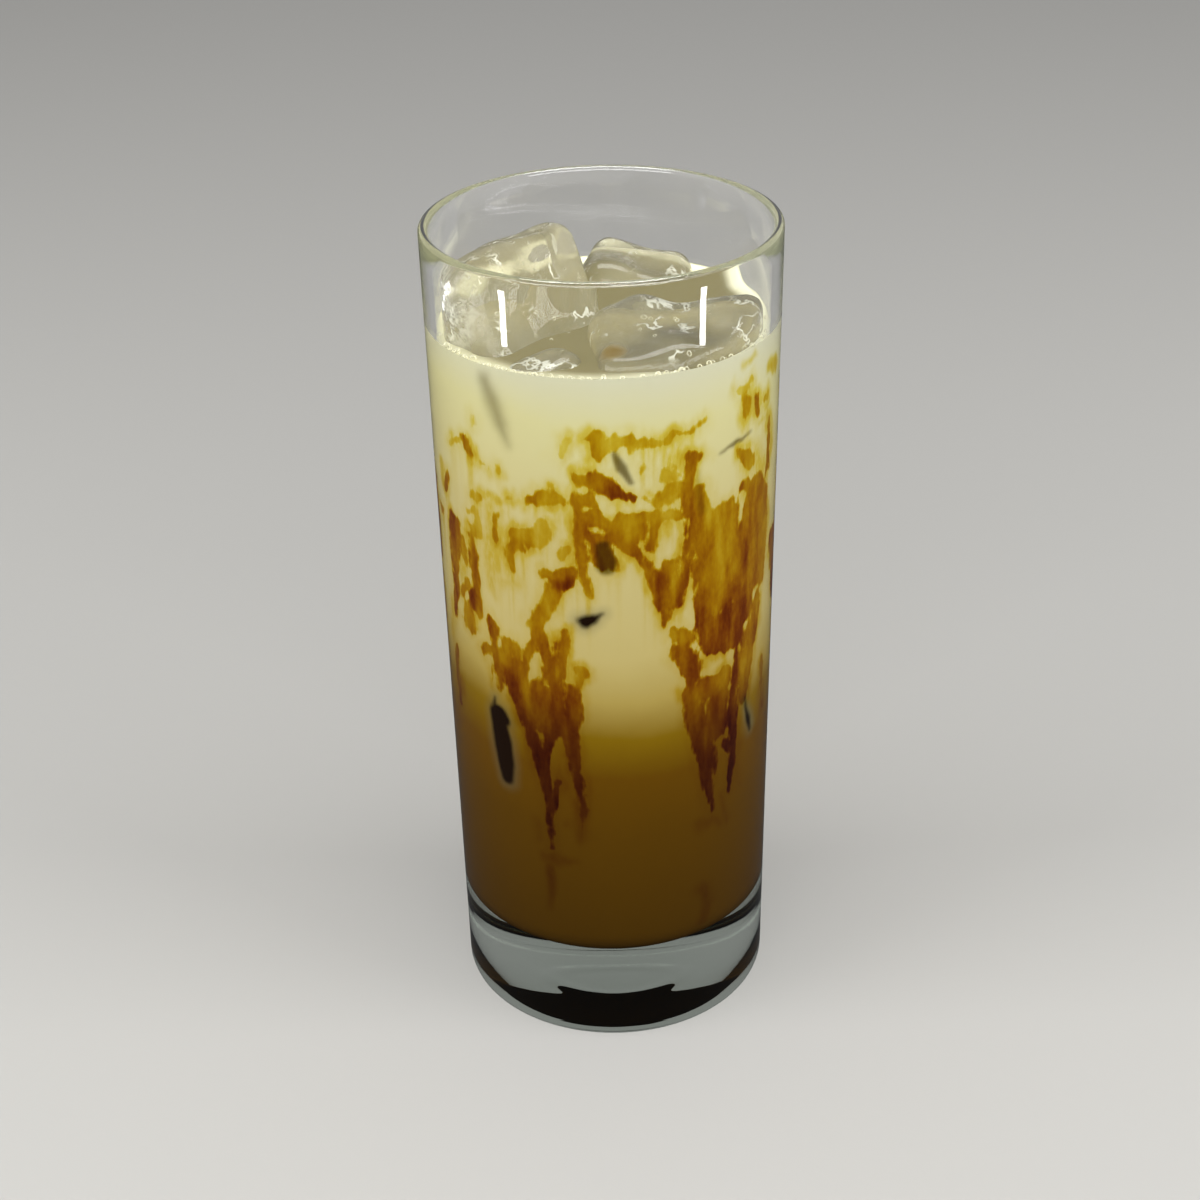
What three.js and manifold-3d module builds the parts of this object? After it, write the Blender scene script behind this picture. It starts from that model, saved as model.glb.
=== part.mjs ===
// An iced latte in a tall clear glass: milk stands over coffee, and blocks of ice break the surface.
// Millimetres, +Z up. The origin is the centre of the foot, on the surface that the glass stands on,
// and -Y is the front.
import * as THREE from "three";
import { RoundedBoxGeometry } from "three/addons/geometries/RoundedBoxGeometry.js";
import { mergeVertices } from "three/addons/utils/BufferGeometryUtils.js";
import Module from "manifold-3d";

// The glass. Radii of the wall are measured outside.
const GLASS_HEIGHT = 160;
const RIM_RADIUS = 32.5;
const FOOT_RADIUS = 30.4;
const FOOT_ROUNDING = 3.4;
const RIM_WALL = 1.8;
const FLOOR_WALL = 2.6;
const FLOOR_HEIGHT = 20;
const FLOOR_FILLET = 5;
const UNDERSIDE_RADIUS = 21;
const UNDERSIDE_HOLLOW = 1.4;

// The drink. LAYER_HEIGHT is where milk meets coffee, on a surface that swells a little.
const LEVEL = 141.5;
const MENISCUS = 1;
const LAYER_HEIGHT = 74;
const LAYER_SWELL = 2.4;
const SWELL_LENGTH = 14;
const LAYER_RINGS = 4;

// Clearances: between neighbouring pieces, and from the ice to the wall, where a film of milk stays.
const FIT_GAP = 0.3;
const ICE_TO_WALL = 1.3;

// The ice. Sizes run along, across and up each block; heading turns it about Z, lean then tips it
// about its length and roll about its depth, in degrees.
const ICE_ROUNDING = 4.5;
const ICE_MELT = 0.7;
const MELT_WAVELENGTH = 19;
const ICE_BLOCKS = [
  { name: "ice_left", size: [29, 19, 27], centre: [-16.4, -1, 142], heading: 43, lean: -24, roll: -4 },
  { name: "ice_right", size: [32, 22, 24], centre: [14.2, -12.6, 134], heading: 5, lean: 9, roll: -2 },
  { name: "ice_back", size: [20, 17, 22], centre: [5.4, 19.4, 135.5], heading: -12, lean: 5, roll: 9 },
  { name: "ice_front", size: [14, 10, 11], centre: [-10.4, -21, 137.2], heading: 38, lean: 6, roll: -12 },
];

// Facets, and how far two heights may differ and still be one.
const SIDES = 72;
const ARC_STEPS = 3;
const ICE_STEPS = 3;
const SAME_HEIGHT = 0.02;

const wasm = await Module();
wasm.setup();

const glassMaterial = new THREE.MeshStandardMaterial({
  color: 0xdfe6e2,
  roughness: 0.03,
  metalness: 0,
  transparent: true,
  opacity: 0.3,
});
const milkMaterial = new THREE.MeshStandardMaterial({ color: 0xdbd6a8, roughness: 0.4, metalness: 0 });
const coffeeMaterial = new THREE.MeshStandardMaterial({ color: 0x5c3c06, roughness: 0.4, metalness: 0 });
const iceMaterial = new THREE.MeshStandardMaterial({
  color: 0xc4bf9c,
  roughness: 0.08,
  metalness: 0,
  transparent: true,
  opacity: 0.5,
});

// Inside radius of the straight part of the wall at height z.
function boreRadius(z) {
  const lowest = FLOOR_HEIGHT + FLOOR_FILLET;
  const share = (z - lowest) / (GLASS_HEIGHT - lowest);
  return THREE.MathUtils.lerp(FOOT_RADIUS - FLOOR_WALL, RIM_RADIUS - RIM_WALL, share);
}

// Lift of the surface between milk and coffee at a point of the plan: two slow waves that cross.
function layerLift(x, y) {
  const across = Math.sin((x + y / 2) / SWELL_LENGTH);
  const along = Math.cos((y - x / 2) / SWELL_LENGTH);
  return (LAYER_SWELL / 2) * (across + along);
}

// A closed body turned about Z from a path of (radius, height) that starts and ends on the axis.
function turned(path) {
  const geometry = new THREE.LatheGeometry(path.getPoints(ARC_STEPS), SIDES);
  return geometry.rotateX(Math.PI / 2);
}

// Merged positions only, as a solid that can be joined and cut.
function toSolid(geometry) {
  const bare = geometry.clone();
  bare.deleteAttribute("normal");
  bare.deleteAttribute("uv");
  const merged = mergeVertices(bare);
  return new wasm.Manifold(
    new wasm.Mesh({
      numProp: 3,
      vertProperties: new Float32Array(merged.attributes.position.array),
      triVerts: new Uint32Array(merged.index.array),
    }),
  );
}

function toGeometry(solid) {
  const { vertProperties, triVerts } = solid.getMesh();
  const geometry = new THREE.BufferGeometry();
  geometry.setAttribute("position", new THREE.BufferAttribute(vertProperties, 3));
  geometry.setIndex(new THREE.BufferAttribute(triVerts, 1));
  geometry.computeVertexNormals();
  return geometry;
}

// A thick base with a shallow hollow under it, a wall that opens slightly upwards and a rounded lip.
function glassGeometry() {
  const lip = RIM_WALL / 2;
  const floorEdge = boreRadius(FLOOR_HEIGHT + FLOOR_FILLET) - FLOOR_FILLET;
  const path = new THREE.Path();
  path.moveTo(0, UNDERSIDE_HOLLOW);
  path.quadraticCurveTo(UNDERSIDE_RADIUS / 2, UNDERSIDE_HOLLOW, UNDERSIDE_RADIUS, 0);
  path.absarc(FOOT_RADIUS - FOOT_ROUNDING, FOOT_ROUNDING, FOOT_ROUNDING, -Math.PI / 2, 0);
  path.absarc(RIM_RADIUS - lip, GLASS_HEIGHT - lip, lip, 0, Math.PI);
  path.absarc(floorEdge, FLOOR_HEIGHT + FLOOR_FILLET, FLOOR_FILLET, 0, -Math.PI / 2, true);
  path.lineTo(0, FLOOR_HEIGHT);
  return turned(path);
}

// Rings across the plan at the height between the layers, from the axis out or from the wall in.
function layerRings(path, radius, height, outwards) {
  for (let ring = 1; ring <= LAYER_RINGS; ring++) {
    const share = ring / LAYER_RINGS;
    path.lineTo(radius * (outwards ? share : 1 - share), height);
  }
}

// Lifts the flat rings at one height onto the swelling surface between the layers.
function swellRings(geometry, height) {
  const position = geometry.attributes.position;
  for (let i = 0; i < position.count; i++) {
    if (Math.abs(position.getZ(i) - height) < SAME_HEIGHT) {
      position.setZ(i, height + layerLift(position.getX(i), position.getY(i)));
    }
  }
  return geometry;
}

function coffeeGeometry() {
  const top = LAYER_HEIGHT - FIT_GAP / 2;
  const floorEdge = boreRadius(FLOOR_HEIGHT + FLOOR_FILLET) - FLOOR_FILLET;
  const path = new THREE.Path();
  path.moveTo(0, FLOOR_HEIGHT + FIT_GAP);
  path.lineTo(floorEdge, FLOOR_HEIGHT + FIT_GAP);
  path.absarc(floorEdge, FLOOR_HEIGHT + FLOOR_FILLET, FLOOR_FILLET - FIT_GAP, -Math.PI / 2, 0);
  path.lineTo(boreRadius(top) - FIT_GAP, top);
  layerRings(path, boreRadius(top) - FIT_GAP, top, false);
  return swellRings(turned(path), top);
}

// The milk up to its level, with its edge drawn up the wall, cut round the grown ice.
function milkGeometry(pockets) {
  const bottom = LAYER_HEIGHT + FIT_GAP / 2;
  const path = new THREE.Path();
  path.moveTo(0, bottom);
  layerRings(path, boreRadius(bottom) - FIT_GAP, bottom, true);
  path.lineTo(boreRadius(LEVEL + MENISCUS) - FIT_GAP, LEVEL + MENISCUS);
  path.lineTo(boreRadius(LEVEL) - FIT_GAP - MENISCUS / 2, LEVEL + MENISCUS / 4);
  path.lineTo(boreRadius(LEVEL) - FIT_GAP - 2 * MENISCUS, LEVEL);
  path.lineTo(0, LEVEL);
  let milk = toSolid(swellRings(turned(path), bottom));
  for (const pocket of pockets) {
    milk = milk.subtract(pocket);
  }
  return toGeometry(milk);
}

// The room inside the wall that ice may take up, with a given distance to the wall.
function iceRoom(toWall) {
  const path = new THREE.Path();
  path.moveTo(0, LAYER_HEIGHT);
  path.lineTo(boreRadius(LAYER_HEIGHT) - toWall, LAYER_HEIGHT);
  path.lineTo(boreRadius(GLASS_HEIGHT) - toWall, GLASS_HEIGHT);
  path.lineTo(0, GLASS_HEIGHT);
  return toSolid(turned(path));
}

// One half-melted block, its faces dished by slow waves, kept inside the wall and grown by a margin.
function iceSolid(block, grown) {
  const [along, across, tall] = block.size.map((side) => side + 2 * grown);
  const geometry = new RoundedBoxGeometry(along, across, tall, ICE_STEPS, ICE_ROUNDING + grown);
  const position = geometry.attributes.position;
  const point = new THREE.Vector3();
  const phase = block.centre[0];
  const turn = (2 * Math.PI) / MELT_WAVELENGTH;
  for (let i = 0; i < position.count; i++) {
    point.fromBufferAttribute(position, i);
    const wave = Math.sin(turn * point.x + phase) * Math.cos(turn * point.y - phase) * Math.sin(turn * point.z);
    point.setLength(point.length() + ICE_MELT * wave);
    position.setXYZ(i, point.x, point.y, point.z);
  }
  const turnedTo = new THREE.Euler(
    THREE.MathUtils.degToRad(block.lean),
    THREE.MathUtils.degToRad(block.roll),
    THREE.MathUtils.degToRad(block.heading),
    "ZXY",
  );
  const placement = new THREE.Matrix4().makeRotationFromEuler(turnedTo).setPosition(...block.centre);
  geometry.applyMatrix4(placement);
  return toSolid(geometry).intersect(iceRoom(ICE_TO_WALL - grown));
}

function namedMesh(name, geometry, material) {
  const mesh = new THREE.Mesh(geometry, material);
  mesh.name = name;
  return mesh;
}

const latte = new THREE.Group();
latte.add(namedMesh("glass", glassGeometry(), glassMaterial));
latte.add(namedMesh("coffee_layer", coffeeGeometry(), coffeeMaterial));

const pockets = ICE_BLOCKS.map((block) => iceSolid(block, FIT_GAP));
latte.add(namedMesh("milk_layer", milkGeometry(pockets), milkMaterial));

for (const block of ICE_BLOCKS) {
  latte.add(namedMesh(block.name, toGeometry(iceSolid(block, 0)), iceMaterial));
}

export default latte;
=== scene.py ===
"""An iced latte in a tall clear glass: milk over coffee, caramel on the wall, ice that breaks the surface.

Shapes are worked out in millimetres, with +Z up and -Y at the front, and put into the meshes in metres.
A place on the drink's wall is given by its arc, in millimetres from the front towards the right at
WALL_RADIUS from the axis, and by its height above the table.
"""

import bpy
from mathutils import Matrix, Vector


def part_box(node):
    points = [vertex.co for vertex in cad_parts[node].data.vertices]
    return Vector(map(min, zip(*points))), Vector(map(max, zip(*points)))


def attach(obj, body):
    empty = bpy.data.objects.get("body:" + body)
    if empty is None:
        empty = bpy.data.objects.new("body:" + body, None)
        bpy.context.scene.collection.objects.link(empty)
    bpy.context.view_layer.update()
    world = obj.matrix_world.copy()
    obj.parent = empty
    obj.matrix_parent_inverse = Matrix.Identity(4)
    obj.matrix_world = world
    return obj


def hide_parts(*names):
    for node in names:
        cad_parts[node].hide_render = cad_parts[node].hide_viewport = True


bl_info = {
    "name": "Iced Latte in a Tall Glass",
    "version": (1, 0, 0),
    "blender": (4, 5, 0),
    "location": "View3D > Sidebar > Latte",
    "description": "Builds milk over coffee with caramel and ice in a straight tumbler",
    "category": "Add Mesh",
}

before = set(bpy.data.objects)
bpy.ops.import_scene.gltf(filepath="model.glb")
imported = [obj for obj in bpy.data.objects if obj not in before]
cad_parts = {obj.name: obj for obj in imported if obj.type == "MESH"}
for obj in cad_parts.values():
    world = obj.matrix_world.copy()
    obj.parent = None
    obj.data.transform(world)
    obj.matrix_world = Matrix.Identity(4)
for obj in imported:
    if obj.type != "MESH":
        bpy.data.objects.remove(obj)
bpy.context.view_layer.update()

import math
from types import SimpleNamespace

import bpy
import numpy as np
from bpy.props import FloatProperty, FloatVectorProperty, IntProperty, PointerProperty
from mathutils import Matrix, Vector

MM = 0.001
BODY = "root"
MIRRORS = "mirrors"
POURED = "poured"

# Sizes that the frame gives, in millimetres.
RIM_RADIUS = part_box("glass")[1][0] / MM
GLASS_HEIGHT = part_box("glass")[1][2] / MM
MILK_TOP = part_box("milk_layer")[1][2] / MM

# The wall's own coordinates.
WALL_RADIUS = 30.0
CIRCUMFERENCE = 2 * math.pi * WALL_RADIUS

# The surface between milk and coffee swells in two slow waves that cross.
LAYER_SWELL = 1.2
SWELL_LENGTH = 14.0

# The map of the wall on which marks are worked out.
MAP_CELL = 0.4
MAP_LOW = 18.0
MAP_HIGH = 144.0

# How finely each surface is divided.
GLASS_COLUMNS = 256
DRINK_COLUMNS = 440
WALL_ROW = 0.46
TOP_RINGS = 26
INNER_RINGS = 4
ARC_STEPS = 12
ICE_GRID = (90, 160)
POCKET_GRID = (56, 100)
HALVINGS = 26
EDGE_BUBBLES = 110
FREE_BUBBLES = 50
BUBBLE_ROWS = 4
BUBBLE_COLUMNS = 8
BOUNCES = 24
SHARP_ANGLE = math.radians(40)

# Blocks of ice: size along, across and up, centre, then heading, lean and roll in degrees.
ICE_BLOCKS = {
    "ice_left": ((29, 19, 27), (-16.4, -1, 142), (43, -24, -4)),
    "ice_right": ((32, 22, 24), (14.2, -12.6, 134), (5, 9, -2)),
    "ice_back": ((20, 17, 22), (5.4, 19.4, 135.5), (-12, 5, 9)),
    "ice_front": ((14, 10, 11), (-10.4, -21, 137.2), (38, 6, -12)),
}
FROST_PLACE = (-27.0, -9.0, 147.0)
FROST_RADIUS = 11.0
SPOT_PLACE = (1.6, -21.5, 143.4)
SPOT_RADIUS = 3.4
MELT_WAVELENGTH = 19.0
DENT_WAVELENGTH = 11.0
WAVES = 7

# Caramel on the wall: how thick each run lies, from 0 to 1, and its points as (arc, height, half-width).
CARAMEL_RUNS = (
    # Dabs of the upper left
    (0.55, ((-27.5, 126.9, 0.6), (-26.4, 125.4, 0.8), (-25.6, 124.2, 0.5))),
    (0.12, ((-33.3, 123.4, 0.4), (-31, 124.7, 0.5), (-29.6, 125.1, 0.5))),
    (0.05, ((-26.2, 123.2, 0.5), (-26, 122.5, 0.6))),
    (0.05, ((-24.4, 131.9, 0.5), (-24.5, 131.2, 0.6))),
    (0.1, ((-23.2, 122.8, 0.3), (-22.4, 122.9, 0.4))),
    (0.1, ((-19.5, 123.2, 0.4),)),
    (0.15, ((-17.9, 117.8, 0.6),)),
    (0.4, ((-35.1, 117.2, 0.6), (-36.3, 114, 0.7))),
    (0.08, ((-6.6, 130.9, 0.4), (-7.8, 127.8, 0.4))),
    (0.1, ((-9.6, 121.9, 0.4),)),
    (0.32, ((-13.2, 118.2, 1), (-11.2, 119, 1.2), (-8.5, 119.5, 1.1))),
    (0.2, ((-26.6, 115.8, 0.5), (-25, 115.9, 0.6))),
    (0.35, ((-20.7, 113.4, 0.6), (-21.3, 109.2, 0.5))),
    (0.1, ((-27.8, 111.9, 0.5), (-26.7, 112.8, 0.5), (-25.6, 111.3, 0.6), (-25.5, 108.6, 0.6))),
    (0.2, ((-27.6, 109.2, 0.5), (-26.7, 107.7, 0.6), (-25.6, 108.6, 0.6))),
    # The flag left of the middle
    (0.22, ((-16.3, 110.1, 1.5), (-13.4, 110.3, 1.9), (-11.5, 112.8, 1.6))),
    (0.38, ((-16, 108.4, 1.3), (-18.1, 106.3, 1), (-18, 103.7, 0.5))),
    (0.2, ((-6.3, 109.6, 0.7), (-8.2, 108.1, 0.5))),
    # Columns at the far left
    (0.5, ((-33.2, 108.6, 1.5), (-33.5, 106.2, 2), (-34, 102, 1.5), (-34.3, 98, 1.2))),
    (0.6, ((-34.3, 98, 1.1), (-34.3, 93.5, 0.9), (-35.3, 88.4, 0.6))),
    (0.25, ((-31.3, 105, 1.2), (-30.5, 102.2, 0.8))),
    (0.42, ((-27.9, 107, 0.8), (-27.4, 102, 1), (-27, 97.6, 1.2), (-27, 91.8, 0.7))),
    (0.75, ((-28.9, 94.8, 1.1), (-28, 93.4, 1.3))),
    (0.3, ((-30.2, 97.4, 0.9), (-32, 94.2, 0.6))),
    (0.32, ((-29.8, 92, 0.9), (-29.5, 88.4, 1.5))),
    (0.2, ((-32.2, 89.3, 0.4),)),
    (0.35, ((-36.6, 79, 0.7), (-36.8, 72.5, 0.8), (-36.6, 68.6, 0.4))),
    # The band from the middle down to the left, with what runs off it
    (0.78, ((-8.4, 103.3, 1.7), (-7.4, 103, 1.4))),
    (0.35, ((-10.6, 104, 0.7), (-8, 104.2, 1), (-5.9, 104.7, 0.8))),
    (0.3, ((-9.4, 101.2, 1.3), (-11.2, 98.6, 1.1), (-12.5, 95.8, 1.1), (-13.3, 91, 1.2))),
    (0.3, ((-13.3, 91, 1.1), (-15.3, 87.6, 0.8), (-16.4, 85.8, 0.7))),
    (0.15, ((-14.8, 93.8, 0.7),)),
    (0.4, ((-12.2, 92, 0.8), (-11.3, 86.5, 1.1), (-11.2, 82.5, 1.3))),
    (0.4, ((-8.5, 93.2, 0.4), (-8.9, 88, 0.7), (-9.8, 84, 1.2))),
    (0.25, ((-5.9, 84.6, 0.8), (-4.9, 84.6, 1), (-5.7, 82.4, 0.5))),
    # Two legs of the left fork that meet in one stem
    (0.58, ((-23.7, 90.6, 1.1), (-23.6, 86, 0.9), (-23.2, 81, 1), (-22.7, 77.4, 0.5))),
    (0.3, ((-26.6, 83.5, 0.6), (-24.4, 84.5, 0.7))),
    (0.28, ((-20.2, 87.6, 1.6), (-18.6, 87.2, 1.5))),
    (0.36, ((-21.4, 84.4, 2.2), (-18.6, 83.2, 2.2))),
    (0.6, ((-21.4, 82.4, 1.5), (-19.4, 78.4, 1.3), (-17, 73.6, 1.2), (-14.9, 68.2, 1.1))),
    (0.62, ((-14.9, 68.2, 1.1), (-13.2, 63.6, 1.1), (-12.6, 57, 1), (-12.6, 50, 0.4))),
    (0.5, ((-12.6, 50, 0.4), (-12.2, 44, 0.1))),
    (0.4, ((-18.2, 80.4, 1.2), (-16.4, 76, 1.2), (-14.8, 71.6, 0.9))),
    (0.5, ((-16.6, 86, 0.6), (-17, 81, 0.6), (-17, 76.5, 0.5))),
    (0.45, ((-13.6, 79.6, 2.4), (-13.6, 75, 1.8), (-13.4, 71, 1))),
    (0.58, ((-10.4, 86, 0.9), (-10.6, 80, 1.3), (-11.2, 72, 1.4), (-12.1, 66, 1))),
    (0.6, ((-12.1, 66, 1), (-12.8, 61.6, 0.9))),
    (0.5, ((-7.2, 80.4, 1.5), (-6.8, 75.4, 1.7), (-7.6, 72, 1.6), (-6.9, 68, 1.1))),
    (0.58, ((-6.9, 68, 1.1), (-6.5, 62.5, 0.7), (-6.1, 57.5, 0.6), (-5.8, 48.6, 0.1))),
    (0.6, ((-10, 60.4, 0.4), (-11.3, 54.8, 0.6))),
    # Blots and band in the middle
    (0.3, ((-3.5, 131.3, 0.4), (-1.5, 132, 1.5), (-1.2, 129.4, 1.4), (0.7, 130.8, 1.4))),
    (0.27, ((0.7, 130.8, 1.4), (2.6, 130.3, 0.9), (6.5, 130.6, 0.8), (10, 130.2, 0.5))),
    (0.25, ((10, 130.2, 0.5), (13, 130.5, 0.3), (15.6, 130.5, 0.4), (17.3, 131.4, 0.5))),
    (0.15, ((4.6, 129, 0.5),)),
    (0.4, ((-4.6, 123.6, 0.7), (-2, 124.3, 1), (-0.2, 123.4, 1.2))),
    (0.68, ((0.2, 122.8, 1.1), (1.8, 121.4, 0.8), (3.8, 119.8, 0.4))),
    (0.42, ((-1, 111, 1.2), (-0.6, 106.6, 1.5))),
    (0.36, ((-5.2, 120.2, 0.8), (-3.2, 120.4, 1.2), (-1.9, 119, 0.5))),
    (0.38, ((-4.5, 118.6, 0.6), (-4.1, 114.3, 0.9), (-4.3, 109.7, 0.8), (-3.6, 100.8, 0.3))),
    (0.32, ((-2.4, 116.8, 1.3), (0, 115.4, 1.3), (2.6, 115, 1.3), (5.4, 115, 1.1))),
    (0.35, ((5.4, 115, 1.1), (8.5, 116.3, 1.2))),
    (0.2, ((10, 116, 0.7), (13, 115.6, 0.6))),
    (0.42, ((-2.6, 112.4, 0.6), (0.6, 112.8, 1.1), (3, 112.7, 1.4), (6, 112.4, 1.6))),
    (0.5, ((9, 114.6, 0.5), (8.6, 112.2, 0.6), (7.7, 110.2, 0.9))),
    # The arch's right side
    (0.5, ((1.2, 111.9, 0.6), (4.2, 110.3, 0.9), (6.4, 108.2, 1), (7.7, 105.6, 1.1))),
    (0.62, ((7.7, 105.6, 1.1), (9.1, 102.8, 1.7), (10.1, 99.6, 1.7), (10.6, 96.4, 1.1), (11, 93.8, 0.4))),
    (0.92, ((9.4, 103.2, 1.1), (10.3, 101.6, 1))),
    (0.68, ((14.2, 114.3, 0.4), (13.9, 109, 0.5), (13.6, 102.4, 0.8), (13.5, 97, 0.6))),
    (0.42, ((11.4, 106, 0.9), (12, 101, 1.2), (12.1, 96.8, 1))),
    # Between the middle and the right
    (0.15, ((6.3, 125.9, 0.5),)),
    (0.2, ((11.8, 125.4, 0.3), (12, 123.4, 0.5))),
    (0.18, ((10.3, 123.1, 0.7), (12.4, 122.5, 0.9))),
    (0.36, ((9.6, 119.8, 1.3), (11.6, 119.6, 1.5), (13.6, 119.6, 1.5))),
    (0.2, ((6.6, 120.4, 0.4), (9.2, 118.4, 0.5))),
    (0.58, ((15, 125.8, 0.7), (17.3, 125.5, 0.4))),
    (0.55, ((15.5, 124.2, 1), (15, 122.4, 1.1))),
    (0.4, ((15, 122.4, 1.1), (14.7, 119, 1.3), (14.5, 115.8, 1))),
    # Cluster and smears at the upper right
    (0.1, ((25.3, 136, 0.6), (28.2, 136.1, 0.8))),
    (0.28, ((26.3, 134.2, 0.8), (27.4, 132.2, 1.1), (27.6, 130.2, 1))),
    (0.4, ((30.6, 132.2, 0.7), (31, 129.4, 0.7))),
    (0.15, ((34.2, 130.6, 1),)),
    (0.35, ((25.8, 123.8, 0.5), (28, 122.3, 1.3), (29.7, 120.8, 1.3))),
    (0.4, ((36, 126, 0.5), (36.3, 121, 0.6), (36, 116.6, 0.6))),
    # The broad mass at the right
    (0.4, ((16.9, 118.6, 1.2), (17.4, 113.4, 2.2), (18.6, 107, 3.6))),
    (0.3, ((21.6, 112.6, 2), (24.6, 113.8, 1.4), (23, 106, 4))),
    (0.44, ((28, 115.6, 1), (31, 114.6, 2), (31, 107, 5))),
    (0.4, ((33, 117, 0.6), (34.4, 112, 1.6), (34.6, 104, 2.2), (34.6, 94, 1.4))),
    (0.62, ((31.4, 112.2, 1.2), (32.6, 111, 1.1))),
    (0.38, ((19.4, 103, 4.2), (21, 98, 4.6))),
    (0.5, ((29, 102, 5), (31.4, 97, 4.4))),
    (0.6, ((25, 95.6, 2.6), (29.6, 96, 2.6))),
    (0.66, ((19.6, 91.4, 2), (24, 89.6, 3.4), (28.8, 91, 2.6))),
    (0.62, ((19.4, 86.4, 1.6), (23, 86.4, 2.4), (26.4, 85.6, 2))),
    (0.4, ((33, 90, 1.6), (32.2, 86.2, 2), (30.6, 83.2, 1.8))),
    (0.35, ((12.4, 91.4, 0.9), (14.2, 90, 1.8))),
    (0.6, ((17.8, 98, 1), (18.4, 93, 1.5), (18.8, 88, 1.6))),
    (0.66, ((13.6, 87.4, 1.9), (14.8, 85.2, 2.2), (16, 82, 1.4), (16.3, 78.2, 0.4))),
    # The second mass below it, with its tails
    (0.5, ((14.4, 78.6, 0.7), (16.6, 72.6, 2.2), (18.4, 66.4, 2.4), (19.5, 60, 2.1))),
    (0.62, ((19.5, 60, 2.1), (20.2, 55, 1), (20.5, 48.8, 0.3))),
    (0.36, ((19, 77.2, 2.6), (22.4, 77.8, 2.4))),
    (0.45, ((21.6, 74, 3), (21.6, 67.4, 1.9))),
    (0.66, ((27, 85, 0.6), (26.6, 79.6, 0.8), (25.8, 73.6, 0.9), (25.9, 67, 0.7))),
    (0.66, ((25.9, 67, 0.7), (26.4, 60, 0.8), (26, 52.4, 0.3))),
    (0.34, ((29.6, 79.4, 2.4), (29.2, 76, 2), (28.6, 71, 1.4))),
    (0.5, ((23.9, 63.2, 0.9), (25.2, 61.6, 0.8))),
    (0.4, ((36.7, 75.6, 0.5), (37, 68.6, 0.7), (38, 64.4, 0.5))),
)

# Bare windows in the caramel, where the drink shows through: points as (arc, height, half-width).
BARE_WINDOWS = (
    ((-26.6, 110.4, 0.5),),
    ((-14.3, 85.6, 0.5), (-14.6, 82, 0.5)),
    ((-7.7, 83.6, 0.5), (-8, 82.2, 0.4)),
    ((-8.7, 68.2, 0.5),),
    ((-0.7, 113.8, 0.4), (-0.9, 112.6, 0.3)),
    ((10.9, 113.4, 0.9), (10.6, 110.6, 1.3), (10.2, 108, 0.9)),
    ((15.6, 109, 0.4), (16, 106.2, 0.6)),
    ((16.7, 100.2, 0.3), (16.6, 98.2, 0.3)),
    ((20.2, 117, 1.4), (21.6, 115.6, 1)),
    ((25.5, 117.6, 0.6), (25.7, 113.6, 0.4)),
    ((11.7, 92.8, 0.4), (12.8, 94.6, 0.5), (14.6, 94.8, 0.6), (16, 93.4, 0.5), (16.8, 91, 0.2)),
    ((18.9, 81, 0.4), (22.4, 82, 0.7), (25, 82.2, 0.4)),
    ((29, 87.2, 0.4), (31, 88, 0.5)),
    ((24, 66.4, 0.7),),
    ((23, 59.4, 1.1), (24.2, 55.8, 0.6)),
)

# Thin golden film: its strength, how softly it ends, and its points.
THIN_FILMS = (
    (0.45, 0.9, ((-24, 116.6, 0.9), (-22, 117.4, 1), (-20.2, 116.2, 0.8))),
    (0.35, 2, ((-22.2, 115, 1.6), (-22.2, 104, 1.6), (-22, 98, 0.8))),
    (0.45, 1.2, ((-37.6, 118, 1.2), (-37.6, 114.6, 1.2))),
    (0.3, 2, ((-31.6, 104, 2), (-31.6, 98, 1.6))),
    (0.3, 2.4, ((-36, 90, 1.6), (-38.6, 82, 1.2))),
    (0.25, 2, ((-17, 101.4, 1), (-20, 100.4, 1))),
    (0.4, 1.2, ((7, 121.4, 0.6), (8.4, 120.8, 0.6))),
    (0.4, 1.2, ((26.8, 140.6, 0.4), (29.2, 140.1, 0.7))),
    (0.6, 1, ((35.6, 136.2, 1.1), (39.6, 135, 1.4))),
    (0.4, 1, ((31.6, 127.4, 0.4), (34, 127.2, 0.4))),
    (0.3, 3, ((11, 121, 2), (11, 117, 1.6))),
    (0.35, 2.4, ((32, 122, 1.2), (34, 118, 2))),
    (0.4, 2, ((-15.6, 49.2, 0.4), (-15.2, 45.8, 0.4))),
    (0.55, 1.6, ((-14.6, 42.4, 0.5), (-11.6, 41.4, 1), (-8.2, 42.4, 0.4))),
    (0.75, 1.2, ((-13.2, 39.6, 0.8), (-13.5, 33.2, 0.5), (-13.7, 29.8, 0.1))),
    (0.4, 1.6, ((-8.7, 51.4, 0.4),)),
    (0.45, 1.8, ((17.6, 47.4, 0.6), (20.4, 46.4, 0.8), (22.8, 46.2, 0.6))),
    (0.45, 1.6, ((23.4, 52.4, 0.5), (25.2, 45.8, 0.5))),
    (0.35, 1.6, ((28.3, 58, 0.4), (28.8, 51.2, 0.2))),
    (0.6, 1.6, ((16.6, 32.4, 0.3), (19.4, 31, 0.9), (20.2, 27.4, 1), (18.8, 23.8, 0.7))),
)

# Ice that is sunk in the drink and touches the wall shows dark: points as (arc, height, half-width).
SUNK_ICE = (
    ((-23.6, 71.2, 1.9), (-22.6, 66, 2.4), (-22, 61, 2.2), (-21.7, 57.4, 1.5)),
    ((-24.2, 72.8, 0.5), (-23.9, 74.6, 0.1)),
    ((-22.6, 71.6, 1.5), (-21.6, 70.4, 1.3)),
    ((-5.2, 95.4, 0.6), (-4.2, 95.2, 1.2), (-2.8, 95.9, 0.9), (-1, 97.1, 0.1)),
    ((29.6, 70.6, 0.1), (30.2, 68, 0.4), (31.2, 65, 0.8), (32, 62.6, 0.4)),
)

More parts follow.
